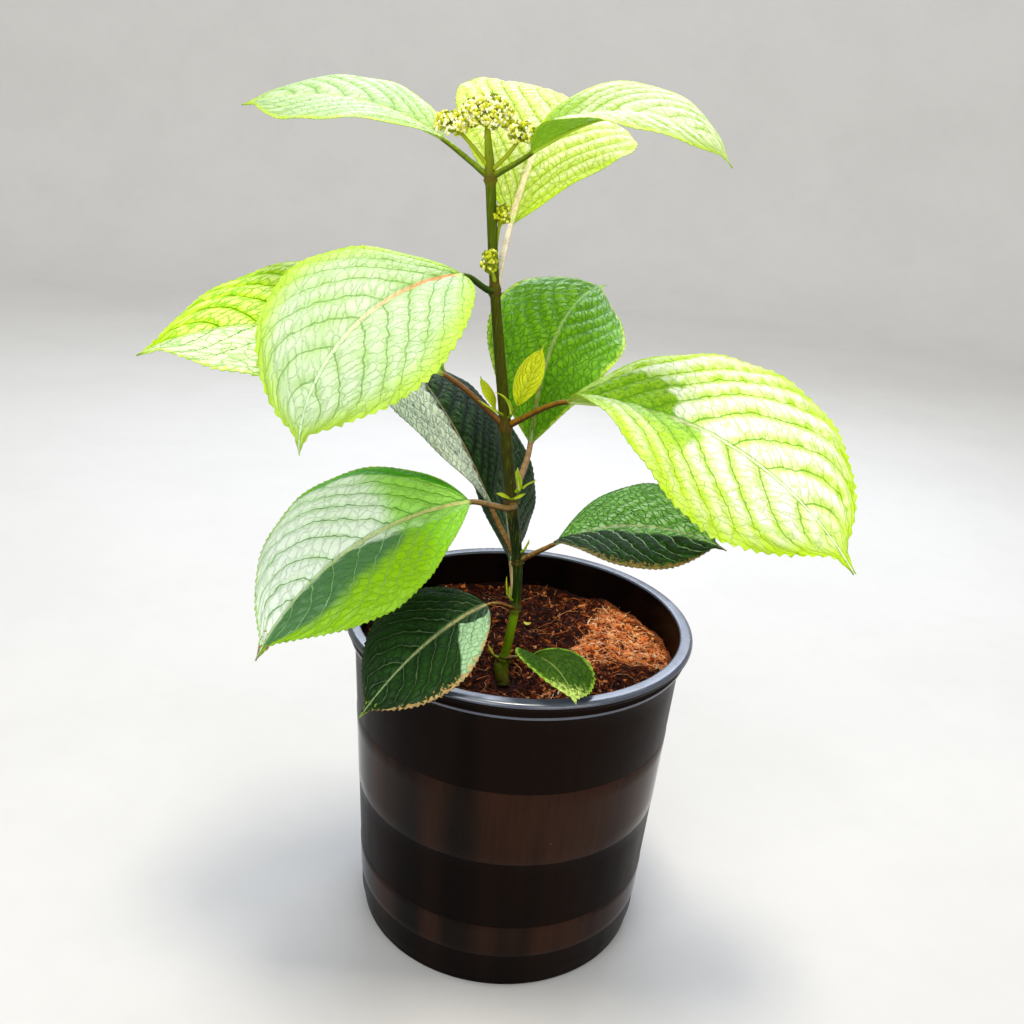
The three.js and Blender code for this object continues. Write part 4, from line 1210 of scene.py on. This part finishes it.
leafLooks = {
    # its first two patches, dark green at the base, are painted shadow of the leaf above over the base's own
    # greener tone
    "leaf_4_right": dict(sunny, blade="e6f2b4", pale="f8faea", marginWidth=11,
        patches=[(("9ccc08", "4f8c00"), 0.97, (-1, -0.14, -0.375, -0.345), (0, -1, -0.7, -0.56),
        (0, 1, -0.08, 0), (-1, -0.4, -0.49, -0.44)), (("a8d818", "64a408"), 0.95, (-1, 0, -0.43, -0.36),
        (1.5, 1, -0.08, 0.06), (0, -1, -0.02, 0.04)), ("c4e428", 0.4, (-0.8, -1, 0, 0.25)),
        ("ccf000", 0.95, (1, 0, 0.82, 0.96))], stalk="b07c18", cloud="d6ec80", halo="b0dc10", haloWidth=5.5,
        haloShare=0.9, netShare=0.3, net="b4dc4c", netSize=4, midrib="eef2cc", midribBase="a8ac50",
        midribWidth=1.7, grooveShare=0.8, lateral="6cac24", margin="bce418", netDepth=0.35,
        stalkUnder="4a300a", netWidth=0.07, lateralWidth=0.55),
    "leaf_5_front_left": dict(sunny, blade="c8dfb2", cloud="b4d490", pale="dcecc8", halo="a8d060",
        net="98c454", lateral="66a034", midribBase="e08c40", midrib="d8efc0", margin="bae41c",
        marginWidth=17, haloShare=0.35, netShare=0.2, paleShare=0.5, midribWidth=2.1, stalk="4f6a14",
        stalkUnder="263608", haloWidth=5, netSize=4, grooveShare=0.4, marginShare=0.85, lateralShare=0.6,
        netDepth=0.3, lateralWidth=0.55),
    "leaf_4_left": dict(sunny, blade="ccf030", cloud="b4e010", pale="eef6a0", net="68c018", halo="9ccc10",
        lateral="3f8c0c", marginWidth=4, stalk="9c6a34", stalkUnder="4f3010", patches=[("f4fcdc", 0.7,
        (0.1, 1, 0, 0.2)), ("fdfcf0", 0.9, (-1.5, -1, 0.14, 0.2)), ("88c420", 0.7, (-1, 0, -0.16, -0.06))],
        haloWidth=4.5, netSize=4, netDepth=0.7, paleShare=0.6, netShare=0.6, lateralWidth=0.6),
    "leaf_5_back": dict(sunny, blade="d4e468", cloud="c0d840", pale="ecf0b8", net="98c834",
        lateral="6ca828", midribBase="f8e0c0", midrib="ecf0b8", stalk="fff4e0", stalkUnder="e4bc94",
        midribWidth=2.4, marginWidth=6, patches=[("e2f050", 0.6, (1, 0, 0.6, 0.9))], haloWidth=5,
        haloShare=0.35, netShare=0.28, netSize=4, halo="b0d434", netDepth=0.5, grooveShare=0.25,
        lateralShare=0.55, fleckShare=0.5),
    "leaf_6_right": dict(sunny, blade="ccdc9c", cloud="b4d064", pale="e0e8c4", lateral="7cb834",
        net="a4d050", under="94d400", underVein="bcdc3c", stalk="8a9c10", stalkUnder="4c600a",
        marginWidth=5, netShare=0.26, patches=[("98c428", 0.8, (-1, 0, -0.3, -0.18))], haloShare=0.3,
        netSize=3.6, halo="b0d850", netDepth=0.4, grooveShare=0.25, lateralShare=0.6),
    "leaf_6_left": dict(sunny, blade="bcd89c", cloud="a8cc7c", pale="d0e4b8", lateral="74b050",
        net="90c45c", halo="acd874", under="9cc44c", stalk="8ca414", stalkUnder="4c600a", marginWidth=5,
        patches=[("bce468", 0.5, (-1, 0, -0.3, -0.1))], haloShare=0.15, netSize=3.6, netDepth=0.4,
        grooveShare=0.2, lateralShare=0.5, netShare=0.18),
    # its whitish blade colours are painted sky sheen; the dark green band beside the midrib on the lower half
    # and the dark green strip along the upper margin near the base are painted shade
    "leaf_3_front_left": dict(sunny, blade="e8f8dc", cloud="d4ecc0", pale="f6fdf0", margin="98c828",
        halo="c8e4b8", net="58984c", lateral="48882c", midrib="b4d088", midribBase="dccf88", stalk="8a6a3a",
        stalkUnder="3a2a10", netShare=0.09, lateralWidth=0.45, marginWidth=2.5, rough=0.32,
        patches=[("3c7430", 0.95, (0, 1, -0.02, 0.05), (1.2, 1, 0.56, 0.64)), ("92c800", 0.95,
        (-0.6, 1, 0.02, 0.26), (1.2, 1, 0.56, 0.64)), ("98e020", 0.85, (-1, 0, -0.36, -0.16)),
        ("48a808", 0.92, (-0.67, -1, 0.64, 0.7))], scorch=[("96604c", 0.85, (1, 0, 0.945, 0.985))],
        netDepth=0.2, shine=0.2, paleShare=0.7, lateralLow="9ccc88", lateralShare=0.75, haloShare=0.4),
    # its pale grey-green patch near the base is a painted sunlit strip
    "leaf_1_front_left": dict(shaded, patches=[("b0d8a4", 0.85, (-3.2, 1, -0.6, -0.52),
        (3.6, 1, 0.98, 1.06), (0, 1, 0.1, 0.2))], scorch=[("c9a468", 0.9, (0.1, 1, 0.97, 1.02)),
        ("a9cc3c", 0.8, (1, 0, 0.93, 0.99))], stalk="a07434", blade="1b3a0e", pale="2e5420", cloud="102a08",
        halo="16300c", lateral="7c9c68", stalkUnder="3a1c0c", lateralShare=0.4, netShare=0.1, netDepth=0.4),
    # the dark patch over its lower half is painted shade of the leaf above; its near-white cells are partly
    # painted sheen
    "leaf_2_right": dict(shaded, blade="90d452", cloud="74b834", pale="e4fcd0", net="44842a", halo="78bc4c",
        lateral="d4f0c4", lateralShare=0.65, midrib="d8d890", midribBase="e6dca0", netShare=0.5, relief=1.4,
        patches=[("0a2002", 0.95, (0.25, -0.9, 0.28, 0.4))], scorch=[("a88a44", 0.8, (0.1, -1, 0.95, 1))],
        netDepth=1, rough=0.6, netSize=2.8),
    # the near-white patch over its left half is painted sheen
    "leaf_2_back_left": dict(shaded, blade="24461a", cloud="16320c", pale="4a7038", net="10280a",
        lateral="122c0a", midrib="a49a70", midribBase="b8986a", netShare=0.2, patches=[("f2ffe4", 0.95,
        (0.1, 0.9, 0.1, 0.25))], relief=1.4, shine=0.15, netDepth=0.8, rough=0.55, netSize=2.6),
    "leaf_1_back": dict(shaded, blade="204412", cloud="14300a", pale="366020", stalk="d8b884",
        stalkUnder="8a6a3a"),
    "leaf_3_back": dict(shaded, blade="7cc018", cloud="64a40c", pale="98d030", margin="d4f04c",
        halo="6cac10", net="4c840c", lateral="a0d060", midrib="b4dc80", midribBase="c8a078", netShare=0.5,
        stalk="c89c74", stalkUnder="8a6040", marginShare=0.85, lateralShare=0.45, marginWidth=4,
        haloWidth=5, haloShare=0.6),
    "leaf_0_right": dict(shaded, blade="345400", cloud="1c4000", pale="5c8008", margin="b4e044",
        halo="547f12", net="2c5406", lateral="8cac40", midrib="8a9c4c", midribBase="a08850", stalk="b08a5c",
        marginShare=0.8, marginWidth=3, scorch=[("dcf47c", 0.9, (1, 0, 0.74, 0.94))], midribWidth=0.8,
        netDepth=0.8, shine=0.03, lateralShare=0.25, netShare=0.25, paleShare=0.4, rough=0.6),
}

# Each leaf's place and form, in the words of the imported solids. Lengths in mm, angles in degrees.
leaves = {
    "leaf_4_right": dict(joint=4, petiole=(-14, 29, 42), azimuth=-22, bend=-8, rise=12, droop=65,
        endDroop=-3, roll=1, twist=45, fold=33, length=197, width=132, tipFullness=0.88, slot="leaf_lime",
        pitch=6.6, tooth=2, puff=1.2),
    "leaf_5_front_left": dict(joint=5, petiole=(225, 22, 27), leaving=(225, 4, 0.4), azimuth=231, bend=-9,
        rise=1, droop=51, endDroop=42, roll=-10, twist=-22, fold=16, length=156, width=109,
        tipFullness=0.84, slot="leaf_lime", pitch=7, tooth=2, puff=0.9),
    "leaf_4_left": dict(joint=4, petiole=(178, 36, 48), azimuth=183, bend=20, rise=25, droop=32,
        endDroop=21, roll=-26, twist=9, fold=42, length=180, width=122, slot="leaf_lime", pitch=6,
        tooth=1.6),
    "leaf_5_back": dict(joint=5, petiole=(74, 60, 41), azimuth=77, rise=48, droop=38, endDroop=13, roll=13,
        twist=5, fold=42, length=180, width=117, tipFullness=0.8, slot="leaf_lime", pitch=5.4, tooth=1.4),
    "leaf_6_right": dict(joint=6, petiole=(-11, 34, 27), azimuth=-22, bend=3, rise=38, droop=45,
        endDroop=45, roll=19, twist=-11, fold=40, length=123, width=88, tipFullness=0.83, slot="leaf_lime",
        pitch=5, tooth=1),
    "leaf_6_left": dict(joint=6, petiole=(160, 31, 35), azimuth=165, bend=4, rise=29, droop=54, endDroop=-7,
        roll=-6, twist=-20, fold=11, length=128, width=89, slot="leaf_lime", pitch=4.6, tooth=0.9),
    "leaf_3_front_left": dict(joint=3, petiole=(206, 2, 27), leaving=(300, -25, 0.6), azimuth=203, bend=26,
        rise=-5, droop=41, endDroop=11, roll=-18, twist=1, fold=18, length=162, width=110, tipFullness=0.95,
        slot="leaf_green", veins=9, pitch=4.2, tooth=1.2),
    "leaf_1_front_left": dict(stalkSize=0.75, joint=1, petiole=(230, 21, 30), azimuth=224, bend=-9, rise=-5,
        droop=60, endDroop=-14, roll=-16, twist=3, fold=29, length=105, width=75, tipFullness=0.88,
        slot="leaf_dark", pitch=3.6, tooth=1.2),
    "leaf_2_right": dict(joint=2, petiole=(-18, 36, 29), azimuth=-28, bend=16, rise=38, droop=48,
        endDroop=12, roll=8, twist=23, fold=28, length=110, width=78, tipFullness=0.79, slot="leaf_dark",
        veins=9, pitch=3.6, tooth=0.8, puff=1.6),
    "leaf_2_back_left": dict(joint=2, petiole=(144, 51, 40), azimuth=149, bend=-29, rise=60, droop=39,
        endDroop=23, roll=13, twist=-4, fold=17, length=144, width=93, tipFullness=0.79, slot="leaf_dark",
        veins=9, pitch=4.2, tooth=1.1, puff=1.6),
    "leaf_1_back": dict(joint=1, petiole=(96, 14, 48), azimuth=109, bend=-20, rise=55, droop=29,
        endDroop=-1, roll=51, twist=-16, fold=2, length=124, width=76, tipFullness=0.79, slot="leaf_dark",
        pitch=4.2, tooth=1, puff=1.3),
    "leaf_3_back": dict(joint=3, petiole=(72, 44, 41), azimuth=84, bend=-27, rise=65, droop=57, endDroop=7,
        roll=7, twist=20, fold=47, length=160, width=91, tipFullness=0.8, slot="leaf_green", veins=9,
        pitch=4.4, tooth=1.1, puff=1.4),
    "leaf_0_right": dict(joint=0, petiole=(-51, 28, 28), azimuth=-63, bend=-13, rise=26, droop=33,
        endDroop=6, roll=-3, twist=-23, fold=38, length=77, width=49, tipFullness=0.83, slot="leaf_green",
        veins=6, pitch=4.6, tooth=1.2, puff=1.3),
}


def addLeaf(whole, start, leaf, radii, tooth, cell, puff, sides, steps, rowsPerTooth):
    azimuth, rising, length = leaf["petiole"]
    rib = Rib(start + direction(azimuth, rising) * length, leaf)
    blade = bladeMesh(rib, *tooth, rowsPerTooth, cell, puff)
    stalk = petioleMesh(start, leaf, rib, radii, sides, steps)
    for points, faces, place, reach, kind in (blade, stalk):
        whole.add(points, faces, place=place, reach=reach, kind=kind)


def makeLeaves():
    for number, (name, leaf) in enumerate(leaves.items(), 1):
        # small leaves have thinner petioles and flatter blades
        scale = min(1, 0.6 + leaf["length"] / 400) * leaf.get("stalkSize", 1)
        radii = [r * scale for r in leafRule["radii"]]
        puff = (0.0062 * leaf["length"] + 0.2) * leaf.get("puff", 1)
        tooth = (leaf["pitch"], leaf["tooth"])
        start = np.array(stem["joints"][leaf["joint"]], float)
        whole = Bundle()
        addLeaf(whole, start, {**leaf, "seed": number}, radii, tooth, puff=puff, **leafMesh)
        piece = whole.piece("blade" + name[4:], [leafMaterial("finish" + name[4:], leafLooks[name], number)])
        settle(piece, name)


makeLeaves()
print("leaves ready")


# Young shoots in the axils

shoots = {
    "shoot_4_right": dict(joint=4, above=5, leaflets=[dict(petiole=(-27, 53, 11), azimuth=-12, rise=70,
        droop=-2, roll=62, fold=30, length=40, width=19), dict(petiole=(-60, 35, 7), azimuth=215, rise=88,
        droop=78, roll=0, fold=25, length=20, width=4.5)]),
    "shoot_4_left": dict(joint=4, above=6, leaflets=[dict(petiole=(185, 30, 8), azimuth=178, rise=62,
        droop=0, roll=-25, fold=30, length=22, width=10), dict(petiole=(222, 28, 8), azimuth=196, rise=30,
        droop=0, roll=0, fold=25, length=14, width=4.5)]),
    "shoot_3_right": dict(joint=3, above=6, leaflets=[dict(petiole=(-45, 20, 7), azimuth=205, rise=80,
        droop=2, roll=15, fold=30, length=15, width=6), dict(petiole=(-18, 25, 7), azimuth=-15, rise=48,
        droop=20, roll=0, fold=25, length=11, width=5)]),
    "shoot_3_left": dict(joint=3, above=1, leaflets=[dict(petiole=(258, 20, 7), azimuth=195, rise=40,
        droop=40, roll=-20, fold=20, length=9, width=4), dict(petiole=(285, 20, 7), azimuth=-10, rise=36,
        droop=10, roll=20, fold=20, length=8, width=3.5)]),
    "shoot_2_right": dict(joint=2, above=6, leaflets=[dict(petiole=(-40, 35, 6), azimuth=-30, rise=70,
        droop=0, roll=0, fold=35, length=8, width=3.6)]),
    "shoot_1_left": dict(joint=1, above=5, leaflets=[dict(petiole=(190, 35, 6.5), azimuth=180, rise=78,
        droop=-8, roll=0, fold=30, length=13, width=5), dict(petiole=(215, 35, 6), azimuth=200, rise=86,
        droop=0, roll=0, fold=30, length=8, width=4)]),
    "shoot_0_left": dict(joint=0, above=0, leaflets=[dict(petiole=(176, 12, 7.5), azimuth=178, rise=60,
        droop=0, roll=0, fold=30, length=8, width=4)]),
}
# shares of a leaflet's length (pitch, tooth, puff) or width (cell); the rest in mm
young = dict(
    radii=(1.1, 0.9, 0.7, 0.3), leastPitch=0.9, pitch=1 / 22, tooth=0.012, puff=0.008, cell=1 / 26,
    mesh=dict(sides=12, steps=16, rowsPerTooth=3))
shootLook = dict(
    sunny, blade="fcff10", cloud="f0fc10", pale="ffff50", halo="e8f820", margin="f0fc50",
    net="d0e81c", lateral="c4e01c", midrib="d8ec4c", midribBase="a8c830", under="b0d020",
    underVein="c0d84c", stalk="a8c41c", stalkUnder="6a8412", lateralWidth=0.4, haloWidth=1, midribWidth=0.5,
    netSize=1.6, marginWidth=0.8, netShare=0.3, rough=0.4)


def axil(joint, above):
    place = catmullRom(stemLine, np.array([(joint + 1) / (len(stemLine) - 1)]))[0]
    return place + (0, 0, above)


def makeShoots():
    for number, (name, shoot) in enumerate(shoots.items(), 20):
        start = axil(shoot["joint"], shoot["above"])
        whole = Bundle()
        for k, leaflet in enumerate(shoot["leaflets"]):
            leaf = {**leaflet, "veins": 7, "seed": number + 3 * k}
            length = leaf["length"]
            tooth = (max(young["leastPitch"], young["pitch"] * length), young["tooth"] * length)
            cell = young["cell"] * leaf["width"]
            addLeaf(whole, start, leaf, young["radii"], tooth, cell, young["puff"] * length, **young["mesh"])
        material = leafMaterial("finish" + name[5:], shootLook, number)
        settle(whole.piece("youngShoot" + name[5:], [material]), name)


makeShoots()
print("young shoots ready")


# Flower buds

buds = {
    "rayStart": 0.7, "hub": 0.35, "nearFork": 0.3, "farFork": 0.55, "heart": 1.7, "sink": 0.8, "perGroup": 18,
    # of a tuft: how far its buds lean out, their distance from the heart and their radius in mm
    "spread": 1.35, "tuft": (1.932, 2.415), "size": (0.864, 1.224),
    "tones": ["fffdd0", "f4f078", "c8cc28", "7c8c0c"],
    "toneShares": [0.36, 0.25, 0.23, 0.16], "greenShares": [0.04, 0.16, 0.4, 0.4],
    "stalkTones": ("a0ac1c", "98a81c"),
}
clusters = {
    "buds_5_front": dict(joint=5, above=4, direction=(255, 50), centre=(-35, -35, 461.5), radius=(3, 3, 6),
        rays=0, buds=7, stem=1.1, green=True),
    "buds_5_back": dict(joint=5, above=5, direction=(120, 72), centre=(-30, -26, 487), radius=(3, 3, 4.5),
        rays=0, buds=7, stem=1.1, green=True),
    "buds_6_left": dict(joint=6, above=4, direction=(190, 50), centre=(-61, -31, 533), radius=(8, 6, 5),
        rays=0, buds=17, stem=1.2),
    "buds_6_right": dict(joint=6, above=4, direction=(-20, 38), centre=(-21.5, -30, 531),
        radius=(6.5, 5, 5), rays=0, buds=14, stem=1.2),
}
flowerHead = dict(rays=5, centre=(-42, -24, 538.5), radius=(13, 12, 9.5), buds=46, stem=1.6)
goldenAngle = math.pi * (3 - math.sqrt(5))


def budMaterials():
    made = toneMaterials("budTone", buds["tones"], 0.5, 0.15, ((1, 1, 1), 1.6, 3.0, 0.6), (0.0003, 0.6))
    material, shader = newMaterial("budStalkGreen", 0.5, 0.15)
    base, other = buds["stalkTones"]
    toned = useGroup(mottle, Base=base, Other=other, Scale=0.25, Amount=0.7, Fine=0.3)
    join(toned["Color"], shader["Base Color"])
    return made + [material]


stalkPick = len(buds["tones"])


# a small closed bud has four shallow seams that meet at its pointed top
budPoints, budFaces = ballShape(8, 5, 0.12, 1.12)
ballPoints, ballFaces = ballShape(8, 5)


def axes(pointing, helper):
    # three directions square to each other, the last one along pointing
    side = unit(np.cross(pointing, helper))
    return np.array([side, np.cross(pointing, side), pointing])


def arch(start, bend, end, u):
    return start * (1 - u) ** 2 + 2 * bend * u * (1 - u) + end * u * u


def between(first, last, steps):
    return first + (last - first) * np.linspace(0, 1, steps)[:, None]


def addBud(whole, centre, pointing, size, shares):
    turned = budPoints @ axes(unit(np.asarray(pointing, float)), (0.3, 1.0, 0.2))
    whole.add(centre + turned * size, budFaces, int(chance.choice(4, p=shares)))


def addTuft(whole, nearest, place, number, shares):
    # each bud of the solid is a small tuft of buds here, round a green heart
    aim = unit(unit(place - nearest + (0, 0, 1e-3)) + (0, 0, 0.5))
    turned = axes(aim, (0.2, 1, 0.1))
    side, other = turned[:2]
    heart = place - aim * buds["sink"]
    whole.add(heart + ballPoints @ turned * buds["heart"], ballFaces, stalkPick)
    for k in range(buds["perGroup"]):
        lean = math.acos(1 - buds["spread"] * (k + 0.5) / buds["perGroup"])
        turn = goldenAngle * k + number
        way = aim * math.cos(lean) + (side * math.cos(turn) + other * math.sin(turn)) * math.sin(lean)
        seat = heart + way * chance.uniform(*buds["tuft"])
        whole.add(*tube(between(heart, seat, 3), [0.3, 0.24, 0.22], 4), stalkPick)
        addBud(whole, seat, way, chance.uniform(*buds["size"]), shares)


def addCluster(whole, root, spec, lowest):
    centre = np.array(spec["centre"], float)
    radius = np.array(spec["radius"], float)
    hub = root + (centre - root) * buds["hub"]
    forks = [] if spec["rays"] else [hub]
    shares = buds["greenShares"] if spec.get("green") else buds["toneShares"]
    for k, turn in enumerate(turns(spec["rays"])):
        spread = np.array([math.cos(turn) * radius[0], math.sin(turn) * radius[1], 0])
        forks.append(centre + spread * (buds["farFork"] if k % 2 else buds["nearFork"]))
        whole.add(*tube(between(hub, forks[-1], 5), np.linspace(1.15, 0.8, 5), 8), stalkPick)
    for i in range(spec["buds"]):
        height = 1 - (i + 0.5) / spec["buds"] * (1 - lowest)
        ring = math.sqrt(1 - height * height)
        outward = np.array([ring * math.cos(goldenAngle * i), ring * math.sin(goldenAngle * i), height])
        place = centre + radius * outward
        nearest = min(forks, key=lambda fork: np.linalg.norm(fork - place))
        whole.add(*tube(between(nearest, place, 4), [0.6, 0.5, 0.45, 0.4], 6), stalkPick)
        addTuft(whole, nearest, place, i, shares)


def makeBuds():
    materials = budMaterials()
    for name, spec in clusters.items():
        start = axil(spec["joint"], spec["above"])
        centre = np.array(spec["centre"], float)
        bend = start + direction(*spec["direction"]) * 0.5 * np.linalg.norm(start - centre)
        line = arch(start, bend, centre, np.linspace(0, 1, 14)[:, None])
        whole = Bundle()
        whole.add(*tube(line, spec["stem"] * np.linspace(1.15, 0.8, 14), 12), stalkPick)
        addCluster(whole, arch(start, bend, centre, buds["rayStart"]), spec, -0.8)
        settle(whole.piece("budSpray" + name[4:], materials), name)
    root = np.array(stem["tip"]) + (0, 0, 0.45)
    line = catmullRom([root - (0, 0, 2), root + (-0.3, 0, 4), flowerHead["centre"]], np.linspace(0, 1, 16))
    whole = Bundle()
    whole.add(*tube(line, np.linspace(1.9, 1.4, 16), 16), stalkPick)
    addCluster(whole, root, flowerHead, -0.55)
    settle(whole.piece("flowerHead", materials), "flower_head")


makeBuds()
print("flower buds ready")
